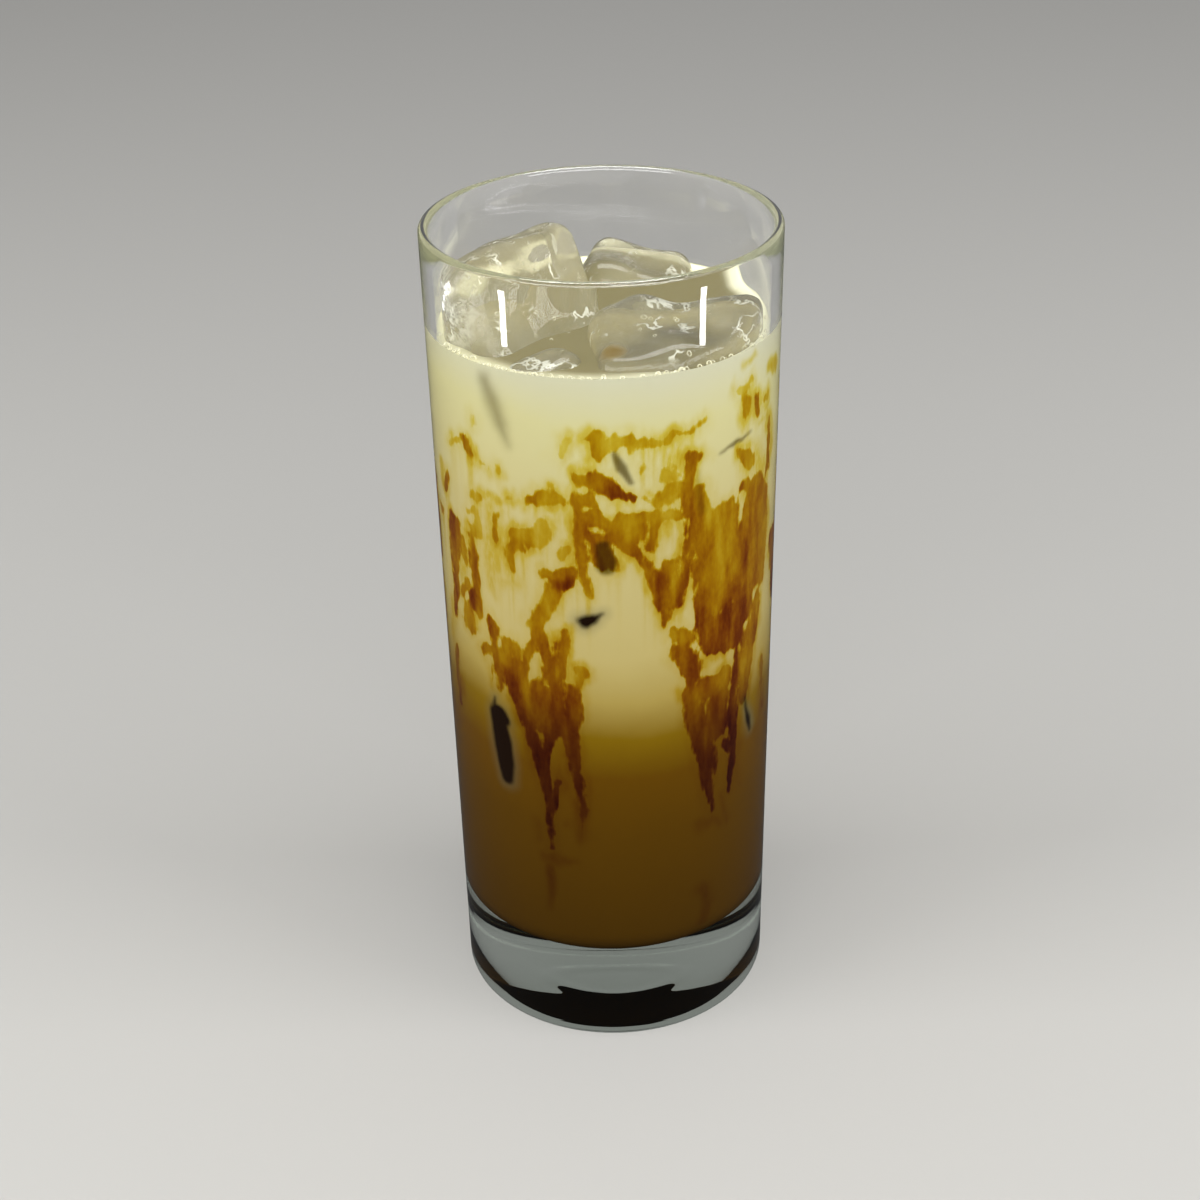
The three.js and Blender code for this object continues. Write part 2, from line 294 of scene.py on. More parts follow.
# Shadows of ice that lies a little behind the milk: strength, softness and points.
ICE_SHADOWS = (
    (0.6, 2.4, ((-21.6, 139.4, 1.6), (-20.1, 136, 2), (-18.8, 132.4, 1.8), (-17.2, 128.6, 0.5))),
    (0.18, 1.4, ((-32.8, 139, 0.4),)),
    (0.18, 1.6, ((-37.8, 132.8, 0.4),)),
    (0.22, 1, ((7.2, 141.4, 0.1), (7.3, 140, 0.1))),
    (0.95, 0.6, ((1.6, 128.6, 0.4), (2.8, 125.6, 1), (4.2, 123, 0.5))),
    (0.85, 0.5, ((20.8, 125.2, 0.3), (25, 125.9, 0.5), (29.4, 126.2, 0.2))),
    (0.95, 0.8, ((-0.9, 110.4, 1.2), (-0.3, 107.4, 1.7), (-0.5, 106.2, 1.6))),
    (0.8, 1.8, ((29, 70.4, 0.6), (31, 66.4, 1.4), (32.8, 63.4, 1))),
    (0.45, 1.2, ((16.7, 122.8, 0.2), (16.8, 118.8, 0.8), (17.6, 114.6, 0.8))),
)

# The drink's colour by height in millimetres, as shown on a screen: coffee, then milk. Within each, the
# fall towards the bottom is partly painted shade, and the milk's lighter top is partly painted light.
DRINK_AND_SHADE_BY_HEIGHT = (
    (22, (72, 47, 2)),
    (48, (89, 59, 2)),
    (61, (102, 68, 2)),
    (70, (132, 101, 8)),
    (78, (178, 154, 80)),
    (87, (197, 178, 113)),
    (110, (204, 189, 130)),
    (133, (217, 210, 154)),
    (142, (216, 213, 182)),
)

# How strongly a layer of caramel takes out red, green and blue, and the thickest layer that is drawn.
CARAMEL_ABSORBS = (0.45, 0.92, 5.0)
CARAMEL_MOST = 4.5
CARAMEL_STOPS = 16

# Caramel round the back begins so far from the front. Then come how many dabs, legs and veils there are
# and the ranges that their numbers are drawn from, in the order that back_caramel names them.
FRONT_HALF = 41
BACK_ARC = (FRONT_HALF - CIRCUMFERENCE / 2, CIRCUMFERENCE / 2 - FRONT_HALF)
DABS = (34, (BACK_ARC, (104, 133), (-0.5, 0.5), (1.0, 4.5), (0.5, 1.5), (0.1, 0.5)))
LEGS = (22, (BACK_ARC, (88, 120), (14, 34), (0.7, 2.1), (-3.0, 3.0), (0.3, 0.8)))
VEILS = (7, (BACK_ARC, (96, 112), (2.4, 4.6), (0.4, 0.75)))

# A dab's points as shares of its length, slope and half-width. A leg's as shares of its lean, length and
# half-width, with lifts in millimetres and its tip's half-width. How far a veil drifts, falls and narrows.
DAB_SHAPE = ((0, 0, 0.6), (0.5, 0.5, 1), (1, 0, 0.4))
LEG_SHAPE = ((-0.3, 0, 0.3), (0, 0, 1), (0.6, 0.45, 0.6))
LEG_LIFTS = (1.5, -2, 0)
LEG_TIP = 0.1
VEIL_FALL = (1.5, 11, 0.7)

# Noise on the wall: strength, cells along the arc and up in millimetres, and seed.
PUSH_ALONG = ((0.7, 4.0, 7.0, 1), (0.35, 1.4, 3.2, 2))
PUSH_UP = ((0.9, 3.0, 5.0, 3), (0.5, 1.1, 2.4, 4))
RAGGED = ((0.4, 0.9, 3.6, 5), (0.25, 0.8, 1.2, 6))
MOTTLE = ((0.35, 2.4, 6.0, 7), (0.3, 0.9, 4.2, 8))
RUN_NOISE = ((1.0, 0.9, 9.0, 9),)
PATCH_NOISE = ((1.0, 3.2, 6.0, 10),)
SUNK_PUSH = 0.3
SHADOW_PUSH = 0.4

# Caramel's layer: how far its edge is spread, how runs that overlap are weighted by depth, and the layer as
# a polynomial of a run's thickness. Depths are kept between the last limits.
CARAMEL_SPREAD = 0.3
DEPTH_LIMITS = (-12, 6)
DEPTH_WEIGHT = 1.6
LAYER_GROWTH = (1.5, 2.3, 0.25)
MARK_LIMITS = (-3, 3)

# Its film below and around it: shortest run and what noise adds, the ranges of depth, height and noise over
# which the film rises, and how thick it gets.
RUN_LENGTHS = (1.2, 9.0)
RUN_DEPTH = (-0.2, 0.6)
RUN_MOST = 1.2
RUN_SHARE = 0.36
RUN_HEIGHTS = (84, 100)
PATCH_RANGE = (-0.2, 0.9)
AROUND_DEPTH = (-2.4, 0.2)
AROUND_SHARES = (0.15, 0.45)
AROUND_MOST = 1.0

# Distances from the wall and below the surface, in millimetres, over which the milk's colour changes to
# painted shade among the ice, with a wider pale ring of painted light at the front, and the pockets under
# the ice paler towards the front with painted light.
AT_WALL = 0.3
SUNKEN = (0.3, 2.5)
PAINTED_LIGHT_RING = (1.0, 4.5)
RING_SLANT = 20
POCKET_RING = (0.3, 1.0)
POCKET_LIGHT_SPAN = 14

# Outlines: steps along the glass, the ring's width, and how the milk is drawn up at the wall.
UNDERSIDE_STEPS = 60
FOOT_STEPS = 4
WALL_STEPS = 40
FLOOR_STEPS = 10
RING_WIDTH = 1.6
FIRST_RING = 0.15
DRAWN_UP = 0.7

# Ice at the wall is rounded over this much; its dents' wavelengths are spread by these factors.
WALL_ROUNDING = 1.2
DENT_SPREAD = (0.7, 1.5)

# Bubbles: middle and spread along the edge, mean inset there, inset of free ones, and size.
BUBBLE_ARC = (-6, 26)
EDGE_INSET = 0.5
FREE_INSET = (2, 22)
BUBBLE_SIZE = (0.2, 0.6)
BUBBLE_BLEND = 0.4
BUBBLE_EDGE = (0.0, 0.7)

# Clear bodies: index of refraction, roughness, ripples to the metre and their depth in millimetres.
CLEAR_GLASS = (1.5, 0.0, 60.0, 0.02)
CLEAR_ICE = (1.31, 0.02, 200.0, 0.08)
RIPPLE_DETAIL = 3.0

# Light that passes them in their shadow, where they lie flat to it and where they are steep.
GLASS_SHADOW = ((0.97, 0.97, 0.97, 1), (0.85, 0.86, 0.85, 1))
ICE_SHADOW = ((0.93, 0.94, 0.93, 1), (0.6, 0.62, 0.6, 1))
STEEP_BLEND = 0.35

# Opaque surfaces: roughness, index of refraction and how much they shine.
HAZE = (0.3, 1.31, 0.4)
DRINK_SKIN = (0.35, 1.34, 0.0)
BUBBLE_SKIN = (0.2, 1.5, 0.5)
FLOOR_SKIN = (0.7, 1.5, 0.2)
WHITE = (1, 1, 1, 1)

# Noise in the materials: cells to the metre, detail and roughness.
ICE_CLOUDS = (95.0, 4.0, 0.6)
ICE_CRACKS = (130.0, 4.0, 0.55)
ICE_BREAKS = (160.0, 1.0, 0.5)
ICE_GRAIN = (900.0, 3.0, 0.6)
DRINK_STREAKS = (420.0, 3.0, 0.6)
DRINK_GRAIN = (1500.0, 2.0, 0.5)
DRINK_CLOUDS = (90.0, 2.0, 0.5)
STREAK_STRETCH = (1.0, 1.0, 0.22)
GRAIN_STRETCH = (1.0, 1.0, 0.5)

# Where effects in the ice begin and are full, and how much each clouds it.
CLOUD_RANGE = (-0.8, 0.6)
CRACK_RANGE = (0.0, 0.06)
BREAK_RANGE = (-0.05, 0.35)
FROST_RANGE = (-0.3, 0.5)
FROST_CORE = 1.0
SPOT_CORE = 0.8
CLOUD_SHARE = 0.7
CRACK_SHARE = 0.55
FROST_SHARE = 0.8
SPOT_SHARE = 0.8
CLOUDIEST = 0.85

# The same in the drink: the coffee stands higher at the left, clouds lift it by millimetres, and streaks
# and grain make caramel uneven at its edge, in its body and in its film.
LAYER_TILT = 0.12
LAYER_CLOUDS = 1.6
SHADOW_GRAIN = 0.03
SUNK_GRAIN = 0.12
HALO_RANGE = (-2.6, 0.6)
HALO_SHARE = 0.4
SUNK_RANGE = (-0.7, 0.6)
CARAMEL_RANGE = (-0.4, 0.5)
UNEVEN = ((0.75, 0.4), (0.45, 0.3), (0.9, 0.5))

# Lights: place, the point that they are turned to, and size, in metres. Fill and strip stand at both sides.
KEY_LIGHT = ((0.0, -0.9, 0.58), (0, 0, 0.08), (2.2, 0.5))
LIP_LIGHT = ((0.0, 0.1, 0.8), (0, 0, 0.15), (0.5, 0.3))
BACK_LIGHT = ((0.0, 0.9, 0.12), (0, 0, 0.08), (0.9, 0.2))
FILL_LIGHT = ((0.9, -0.35, 0.45), (0, 0, 0.08), (0.6, 0.6))
STRIP_LIGHT = ((0.27, -0.144, 0.0477), (0, 0, 0.1), (0.022, 0.037))
STRIP_SPREAD = math.radians(60)
HORIZON = (-0.05, 0.15)

# Floor and camera: half the floor's side and how far it lies under the foot, in millimetres, the sensor's
# width and the nearest distance that the camera sees.
FLOOR_HALF = 3000.0
FLOOR_DROP = 0.1
SENSOR_WIDTH = 36
NEAREST = 0.01

# A Mix node's colour sockets, and a number small enough to count as nothing.
FIRST_COLOUR = 6
SECOND_COLOUR = 7
MIXED_COLOUR = 2
TINY = 0.001


def screen(red, green, blue):
    """The linear colour whose value on a screen is given from 0 to 255: the sRGB curve, undone."""
    shares = np.array((red, green, blue)) / 255
    curved = ((shares + 0.055) / 1.055) ** 2.4
    return tuple(np.where(shares <= 0.04045, shares / 12.92, curved).tolist())


def length_property(name, description, millimetres):
    """A length that a user may change, stored in metres."""
    return FloatProperty(name=name, description=description, default=millimetres * MM, unit="LENGTH")


def colour_property(name, description, *shown):
    """A colour that a user may change, given as it shows on a screen."""
    named = {"name": name, "description": description, "default": screen(*shown)}
    return FloatVectorProperty(subtype="COLOR", size=3, min=0, max=1, **named)


def number_property(name, description, default):
    """A number from 0 up that a user may change."""
    return FloatProperty(name=name, description=description, default=default, min=0)


def angle_property(name, description, radians):
    """An angle that a user may change."""
    return FloatProperty(name=name, description=description, default=radians, subtype="ANGLE")


def power_property(name, description, watts):
    """A light's power that a user may change."""
    return FloatProperty(name=name, description=description, default=watts, subtype="POWER")


def seed_property(name, description, default):
    """A seed of random numbers that a user may change."""
    return IntProperty(name=name, description=description, default=default)


class LatteGlass(bpy.types.PropertyGroup):
    """Sizes and tint of the tumbler"""

    foot_radius: length_property("Foot radius", "Outside radius above the rounded foot", 30.4)
    foot_rounding: length_property("Foot rounding", "Radius of the edge that the glass stands on", 3.4)
    rim_wall: length_property("Rim wall", "Thickness of the wall at the lip", 1.8)
    floor_wall: length_property("Floor wall", "Thickness of the wall at the inside floor", 2.6)
    floor_height: length_property("Floor height", "Height of the inside floor", 20)
    floor_fillet: length_property("Floor fillet", "Radius between inside floor and wall", 5)
    hollow_radius: length_property("Hollow radius", "Radius of the hollow under the base", 21)
    hollow_depth: length_property("Hollow depth", "Depth of the hollow under the base", 1.4)
    ring_radius: length_property("Ring radius", "Radius of the moulded ring under the base", 7.5)
    ring_depth: length_property("Ring depth", "Depth of the ripple that makes the moulded ring", 0.22)
    tint: colour_property("Tint", "Colour of the light that thick glass lets through", 168, 177, 166)
    density: number_property("Density", "How strongly thick glass is tinted", 30)


class LatteDrink(bpy.types.PropertyGroup):
    """Levels and colours of milk, coffee and caramel"""

    level: length_property("Level", "Height of the milk's surface", 141.5)
    layer_height: length_property("Layer height", "Height where milk meets coffee", 74)
    reach: length_property("Reach", "How far the drink reaches into the wall, so that no air shows", 0.15)
    # Painted shade: the milk's surface among the ice is coloured dark for the shade that lies on it.
    surface: colour_property("Surface", "Colour of the milk's surface", 116, 108, 74)
    # Painted shade under the ice, with painted light making it paler towards the front.
    pocket: colour_property("Pocket", "Colour of the milk under the ice", 156, 146, 102)
    sunk: colour_property("Sunk ice", "Colour of sunk ice that touches the wall", 26, 11, 1)
    halo: colour_property("Halo", "Colour of the milk around sunk ice", 104, 98, 72)
    # Painted shadow of ice that lies a little behind the milk.
    shadow: colour_property("Shadow", "Colour of ice that lies a little behind the milk", 116, 103, 58)
    froth: colour_property("Froth", "Colour of the bubbles' edges", 226, 222, 192)
    froth_seed: seed_property("Froth seed", "Seed of the bubbles", 3)
    caramel_seed: seed_property("Caramel seed", "Seed of the caramel round the back", 11)


class LatteIce(bpy.types.PropertyGroup):
    """Shape and clearness of the ice"""

    rounding: length_property("Rounding", "Radius of the blocks' melted edges", 4.0)
    melt: length_property("Melt", "Depth of the slow waves in the blocks' faces", 0.7)
    dents: length_property("Dents", "Depth of the small dents in the blocks' faces", 0.3)
    wall_gap: length_property("Wall gap", "Milk between the ice and the wall", 1.3)
    pocket: length_property("Pocket", "How far the milk reaches into the ice, so that no air shows", 0.15)
    cloud: colour_property("Cloud", "Colour of the cloudy parts", 120, 115, 91)
    frost: colour_property("Frost", "Colour of cracks and frosted parts", 184, 184, 168)
    spot: colour_property("Spot", "Colour of the caramel spot on the right block", 106, 84, 14)
    seed: seed_property("Seed", "Seed of the dents in the ice", 5)


class LatteStage(bpy.types.PropertyGroup):
    """Camera, floor and light"""

    distance: length_property("Distance", "From the camera to the middle of the glass", 429.57)
    aim_height: length_property("Aim height", "Height that the distance is measured to", 79.7)
    elevation: angle_property("Elevation", "Angle of the camera above the horizon", 0.504148)
    pan: angle_property("Pan", "Turn of the camera to its left", 0.0038705)
    tilt: angle_property("Tilt", "Turn of the camera upwards", 0.0074875)
    roll: angle_property("Roll", "Turn of the camera about its view", -0.020115)
    lens: FloatProperty(
        name="Lens",
        description="Focal length on the camera's sensor",
        default=66.3,
        subtype="DISTANCE_CAMERA",
    )
    floor: colour_property("Floor", "Colour of the plain floor", 146, 145, 142)
    sky: number_property("Sky", "Strength of the even light from above", 0.62)
    ground: number_property("Ground", "Light below the horizon, seen in reflections", 0.06)
    key: power_property("Key", "Power of the soft light above the front", 25.5)
    fill: power_property("Fill", "Power of each soft light at a side", 13.0)
    back: power_property("Back", "Power of the soft light behind", 8.0)
    lip: power_property("Lip", "Power of the light that only draws the lip", 6.0)
    strip: power_property("Strip", "Power of each small light at a side", 0.011)


def millimetres(group):
    """A property group's lengths by name, in millimetres."""
    lengths = [item.identifier for item in group.bl_rna.properties if getattr(item, "unit", "") == "LENGTH"]
    return SimpleNamespace(**{name: getattr(group, name) / MM for name in lengths})


def smooth_step(low, high, value):
    """0 below low, 1 above high, and an S-shaped rise between them."""
    share = np.clip((value - low) / (high - low), 0, 1)
    return share * share * (3 - 2 * share)


def arc_points(centre, radius, start, end):
    """Points (radius, height) of a circle's arc between two angles in degrees."""
    angle = np.radians(np.linspace(start, end, ARC_STEPS + 1))
    return np.stack([centre[0] + radius * np.cos(angle), centre[1] + radius * np.sin(angle)], -1)


def line_points(start, end, steps):
    """Points of a straight line, without its two ends."""
    share = np.linspace(0, 1, steps + 1)[1:-1, None]
    return np.array(start) * (1 - share) + np.array(end) * share


def bore_radius(height, glass):
    """Inside radius of the wall: a straight taper from the floor's fillet to the lip."""
    lowest = glass.floor_height + glass.floor_fillet
    narrow = glass.foot_radius - glass.floor_wall
    wide = RIM_RADIUS - glass.rim_wall
    return narrow + (wide - narrow) * (height - lowest) / (GLASS_HEIGHT - lowest)


def grid_quads(rows, columns):
    """Faces of a grid whose columns close into rings: each joins two rows and two neighbouring columns."""
    row, column = np.meshgrid(np.arange(rows - 1), np.arange(columns), indexing="ij")
    here = row * columns + column
    beside = row * columns + (column + 1) % columns
    return np.stack([here, beside, beside + columns, here + columns], -1).reshape(-1, 4)


def ball_faces(rows, columns):
    """Faces of rings closed by a pole at each end, where the two poles are the last two points."""
    column = np.arange(columns)
    beside = (column + 1) % columns
    last = (rows - 1) * columns
    first_pole = np.full(columns, rows * columns)
    first = np.stack([first_pole, beside, column], -1)
    final = np.stack([last + column, last + beside, first_pole + 1], -1)
    return grid_quads(rows, columns), np.concatenate([first, final])


def unit_ball(rows, columns):
    """Points of a ball of radius 1: rings from its lowest to its highest, then its two poles."""
    polar = np.linspace(0, math.pi, rows + 2)[1:-1, None]
    around = np.linspace(0, 2 * math.pi, columns, endpoint=False)
    x, y = np.sin(polar) * np.cos(around), np.sin(polar) * np.sin(around)
    rings = np.stack([x, y, np.broadcast_to(-np.cos(polar), x.shape)], -1)
    return np.concatenate([rings.reshape(-1, 3), [(0, 0, -1), (0, 0, 1)]])


def turned_points(profile, columns):
    """A profile of (radius, height) turned about Z: rings for its inner points, then its ends as poles."""
    angle = np.linspace(0, 2 * math.pi, columns, endpoint=False)
    radius = profile[1:-1, :1]
    height = np.broadcast_to(profile[1:-1, 1:], (len(radius), columns))
    rings = np.stack([radius * np.sin(angle), -radius * np.cos(angle), height], -1)
    poles = np.array([(0, 0, profile[0, 1]), (0, 0, profile[-1, 1])])
    return np.concatenate([rings.reshape(-1, 3), poles])


def new_piece(name, points, faces, material):
    """A smooth-shaded mesh object from points in millimetres and arrays of faces."""
    mesh = bpy.data.meshes.new(name)
    mesh.from_pydata(points * MM, [], [face for group in faces for face in group.tolist()])
    mesh.materials.append(material)
    piece = bpy.data.objects.new(name, mesh)
    bpy.context.scene.collection.objects.link(piece)
    finish_shading(mesh)
    return piece


def finish_shading(mesh):
    """Smooth faces, with edges that turn more than SHARP_ANGLE kept sharp."""
    mesh.shade_smooth()
    mesh.set_sharp_from_angle(angle=SHARP_ANGLE)


class Wire:
    """A socket of a material's node tree. +, -, * and / on wires and numbers add Math nodes."""

    def __init__(self, tree, socket=None):
        self.tree = tree
        self.socket = socket

    def node(self, kind, settings=None, sockets=None, output=0):
        """A new node: its settings are set first, then the values or wires of its input sockets."""
        made = self.tree.nodes.new(kind)
        for name, value in (settings or {}).items():
            if name == "stops":
                set_stops(made.color_ramp, value)
            else:
                setattr(made, name, value)
        for name, value in (sockets or {}).items():
            if isinstance(value, Wire):
                self.tree.links.new(value.socket, made.inputs[name])
            else:
                made.inputs[name].default_value = value
        return Wire(self.tree, made.outputs[output] if len(made.outputs) else None)

    def math(self, operation, first, second):
        """A Math node's result on two wires or numbers."""
        return self.node("ShaderNodeMath", {"operation": operation}, {0: first, 1: second})

    def __add__(self, other):
        return self.math("ADD", self, other)

    def __sub__(self, other):
        return self.math("SUBTRACT", self, other)

    def __rsub__(self, other):
        return self.math("SUBTRACT", other, self)

    def __mul__(self, other):
        return self.math("MULTIPLY", self, other)

    def __truediv__(self, other):
        return self.math("DIVIDE", self, other)

    __radd__ = __add__
    __rmul__ = __mul__

    def attribute(self, name):
        """A number stored at the mesh's points."""
        return self.node("ShaderNodeAttribute", {"attribute_name": name}, output="Fac")

    def axis(self, name):
        """One coordinate of this place."""
        return self.node("ShaderNodeSeparateXYZ", {}, {0: self}, name)

    def distance(self, place):
        """How far this place is, in metres, from one given in millimetres."""
        fixed = tuple(at * MM for at in place)
        return self.node("ShaderNodeVectorMath", {"operation": "DISTANCE"}, {0: self, 1: fixed}, "Value")

    def stretched(self, scale):
        """This place scaled along each axis, to draw a pattern out."""
        return self.node("ShaderNodeMapping", {}, {"Vector": self, "Scale": scale})

    def noise(self, cells, detail, roughness=0.5):
        """Noise from -1 to 1 at this place, with so many cells to the metre."""
        sockets = {"Vector": self, "Scale": cells, "Detail": detail, "Roughness": roughness}
        return self.node("ShaderNodeTexNoise", {}, sockets, "Fac") * 2 - 1

    def rise(self, low, high):
        """0 below low, 1 above high, and a smooth rise between them."""
        sockets = {"Value": self, "From Min": low, "From Max": high}
        return self.node("ShaderNodeMapRange", {"interpolation_type": "SMOOTHSTEP"}, sockets)

    def ramp(self, stops):
        """A colour looked up along a row of (place, colour) stops."""
        return self.node("ShaderNodeValToRGB", {"stops": stops}, {"Fac": self})

    def blend(self, first, second):
        """The first colour where this wire is 0, the second where it is 1."""
        sockets = {0: self, FIRST_COLOUR: first, SECOND_COLOUR: second}
        return self.node("ShaderNodeMix", {"data_type": "RGBA"}, sockets, MIXED_COLOUR)

    def filtered(self, colour):
        """This colour multiplied by another."""
        settings = {"data_type": "RGBA", "blend_type": "MULTIPLY"}
        sockets = {0: 1.0, FIRST_COLOUR: self, SECOND_COLOUR: colour}
        return self.node("ShaderNodeMix", settings, sockets, MIXED_COLOUR)

    def between(self, first, second):
        """The first shader where this wire is 0, the second where it is 1."""
        return self.node("ShaderNodeMixShader", {}, {0: self, 1: first, 2: second})


def set_stops(ramp, stops):
    """Gives a colour ramp its stops, as (place, linear colour)."""
    while len(ramp.elements) < len(stops):
        ramp.elements.new(1.0)
    for element, (place, colour) in zip(ramp.elements, stops):
        element.position = place
        element.color = rgba(colour)


def new_material(name):
    """An empty node material and a wire to start its nodes from."""
    material = bpy.data.materials.new(name)
    material.use_nodes = True
    material.node_tree.nodes.clear()
    return material, Wire(material.node_tree)


def rgba(colour):
    """A colour with full alpha."""
    return (*colour, 1)


def object_place(start, kind="Object"):
    """Object coordinates: metres in the shared frame. In the world, Generated is the direction."""
    return start.node("ShaderNodeTexCoord", output=kind)


def painted(start, colour, roughness, index, shine):
    """An opaque shader of one colour or of a wire's colours."""
    sockets = {"Base Color": colour, "Roughness": roughness, "IOR": index, "Specular IOR Level": shine}
    return start.node("ShaderNodeBsdfPrincipled", {}, sockets)


def clear_body(start, index, roughness, ripples, depth):
    """A clear shader with faint ripples."""
    height = object_place(start).noise(ripples, RIPPLE_DETAIL)
    bump = {"Height": height, "Strength": 1.0, "Distance": depth * MM}
    sockets = {
        "Base Color": WHITE,
        "Roughness": roughness,
        "IOR": index,
        "Transmission Weight": 1.0,
        "Normal": start.node("ShaderNodeBump", {}, bump, "Normal"),
    }
    return start.node("ShaderNodeBsdfPrincipled", {}, sockets)


def light_passes(start, body, flat, steep):
    """Shadow rays pass a clear body, weakened a little where it lies flat to them, more where steep."""
    at_flat = start.node("ShaderNodeBsdfTransparent", {}, {"Color": flat})
    at_steep = start.node("ShaderNodeBsdfTransparent", {}, {"Color": steep})
    facing = start.node("ShaderNodeLayerWeight", {}, {"Blend": STEEP_BLEND}, "Facing")
    shadow_ray = start.node("ShaderNodeLightPath", output="Is Shadow Ray")
    return shadow_ray.between(body, facing.between(at_flat, at_steep))


def glass_material(look):
    """Clear glass that tints light on long ways through it."""
    material, start = new_material("clear_glass")
    surface = light_passes(start, clear_body(start, *CLEAR_GLASS), *GLASS_SHADOW)
    tint = start.node("ShaderNodeVolumeAbsorption", {}, {"Color": rgba(look.tint), "Density": look.density})
    start.node("ShaderNodeOutputMaterial", {}, {"Surface": surface, "Volume": tint})
    return material


def ice_material(look):
    """Ice that is clear in parts and cloudy in others, with pale cracks, a frosted patch and a spot."""
    material, start = new_material("clear_ice")
    place = object_place(start)
    clouds = place.noise(*ICE_CLOUDS)
    cracks = place.noise(*ICE_CRACKS)
    line = 1 - cracks.math("ABSOLUTE", cracks, 0.0).rise(*CRACK_RANGE)
    line = line * place.noise(*ICE_BREAKS).rise(*BREAK_RANGE)
    frost = 1 - place.distance(FROST_PLACE).rise(FROST_CORE * MM, FROST_RADIUS * MM)
    frost = frost * (place.noise(*ICE_GRAIN) + clouds).rise(*FROST_RANGE)
    spot = 1 - (place.distance(SPOT_PLACE) + clouds * MM).rise(SPOT_CORE * MM, SPOT_RADIUS * MM)
    cloudy = clouds.rise(*CLOUD_RANGE) * CLOUD_SHARE + line * CRACK_SHARE
    cloudy = cloudy + frost * FROST_SHARE + spot * SPOT_SHARE
    tone = (frost + line).blend(rgba(look.cloud), rgba(look.frost))
    haze = painted(start, spot.blend(tone, rgba(look.spot)), *HAZE)
    body = cloudy.math("MINIMUM", cloudy, CLOUDIEST).between(clear_body(start, *CLEAR_ICE), haze)
    start.node("ShaderNodeOutputMaterial", {}, {"Surface": light_passes(start, body, *ICE_SHADOW)})
    return material


def drink_material(drink):
    """Milk and coffee by height, darker towards the bottom partly with painted shade, with caramel, sunk
    ice, painted shadows of ice and painted shade on the milk among the ice, from the points' own numbers.

    A layer of caramel lets through e to the power of minus its thickness times what it absorbs.
    """
    material, start = new_material("latte")
    place = object_place(start)
    streaks = place.stretched(STREAK_STRETCH).noise(*DRINK_STREAKS)
    grain = place.stretched(GRAIN_STRETCH).noise(*DRINK_GRAIN)

    low, high = DRINK_AND_SHADE_BY_HEIGHT[0][0] * MM, DRINK_AND_SHADE_BY_HEIGHT[-1][0] * MM
    stops = [((at * MM - low) / (high - low), screen(*shown)) for at, shown in DRINK_AND_SHADE_BY_HEIGHT]
    aside = place.axis("X")
    tilt = aside.math("MINIMUM", aside, 0.0) * LAYER_TILT
    height = place.axis("Z") + tilt + place.noise(*DRINK_CLOUDS) * (LAYER_CLOUDS * MM)
    # Colour by height: coffee under milk, with painted shade that darkens it towards the bottom.
    colour = ((height - low) / (high - low)).ramp(stops)
    # Painted shade on the milk among and under the ice, paler towards the front with painted light.
    painted_shade_under_ice = start.attribute("pocket").blend(rgba(drink.surface), rgba(drink.pocket))
    colour = start.attribute("inside").blend(colour, painted_shade_under_ice)

    shadow = start.attribute("shadow") + grain * SHADOW_GRAIN
    colour = shadow.rise(0.0, 1.0).blend(colour, rgba(drink.shadow))
    sunk = start.attribute("sunk") + grain * SUNK_GRAIN
    colour = (sunk.rise(*HALO_RANGE) * HALO_SHARE).blend(colour, rgba(drink.halo))
    colour = sunk.rise(*SUNK_RANGE).blend(colour, rgba(drink.sunk))

    at_edge, in_body, in_film = (streaks * coarse + grain * fine for coarse, fine in UNEVEN)
    depth = start.attribute("caramel") + at_edge
    body = depth.rise(*CARAMEL_RANGE) * start.attribute("amount") * (1 + in_body)
    film = start.attribute("film") * (1 + in_film)
    shares = np.linspace(0, 1, CARAMEL_STOPS)
    passed = np.exp(-CARAMEL_MOST * shares[:, None] * np.array(CARAMEL_ABSORBS))
    tint = (body.math("MAXIMUM", body, film) / CARAMEL_MOST).ramp(list(zip(shares, passed)))
    surface = painted(start, colour.filtered(tint), *DRINK_SKIN)
    start.node("ShaderNodeOutputMaterial", {}, {"Surface": surface})
    return material


def froth_material(look):
    """Thin bubbles: clear where they face the eye, pale at their edges."""
    material, start = new_material("froth")
    skin = painted(start, rgba(look.froth), *BUBBLE_SKIN)
    clear = start.node("ShaderNodeBsdfTransparent", {}, {"Color": WHITE})
    edge = start.node("ShaderNodeLayerWeight", {}, {"Blend": BUBBLE_BLEND}, "Facing")
    surface = edge.rise(*BUBBLE_EDGE).between(clear, skin)
    start.node("ShaderNodeOutputMaterial", {}, {"Surface": surface})
    return material


def between_points(field, arc, up, eased):
    """A field's values between its points: its columns go once round the wall, its rows up it.

    The four neighbours are mixed in straight proportion, or eased so that no edges show.
    """
    rows, columns = field.shape
    across = arc / CIRCUMFERENCE % 1 * columns
    up = np.clip(up, 0, rows - 1 - TINY)
    left = np.floor(across).astype(int) % columns
    right = (left + 1) % columns
    low = np.floor(up).astype(int)
    aside, above = across % 1, up % 1
    if eased:
        aside, above = smooth_step(0, 1, aside), smooth_step(0, 1, above)
    lower = field[low, left] * (1 - aside) + field[low, right] * aside
    upper = field[low + 1, left] * (1 - aside) + field[low + 1, right] * aside
    return lower * (1 - above) + upper * above


def wall_noise(arc, height, layers):
    """Noise that closes round the glass: lattices of random values from -1 to 1, eased and summed."""
    total = np.zeros(arc.shape)
    for strength, cell_arc, cell_height, seed in layers:
        columns = round(CIRCUMFERENCE / cell_arc)
        rows = int(GLASS_HEIGHT / cell_height) + 2
        lattice = np.random.default_rng(seed).uniform(-1, 1, (rows, columns))
        total += strength * between_points(lattice, arc, height / cell_height, True)
    return total


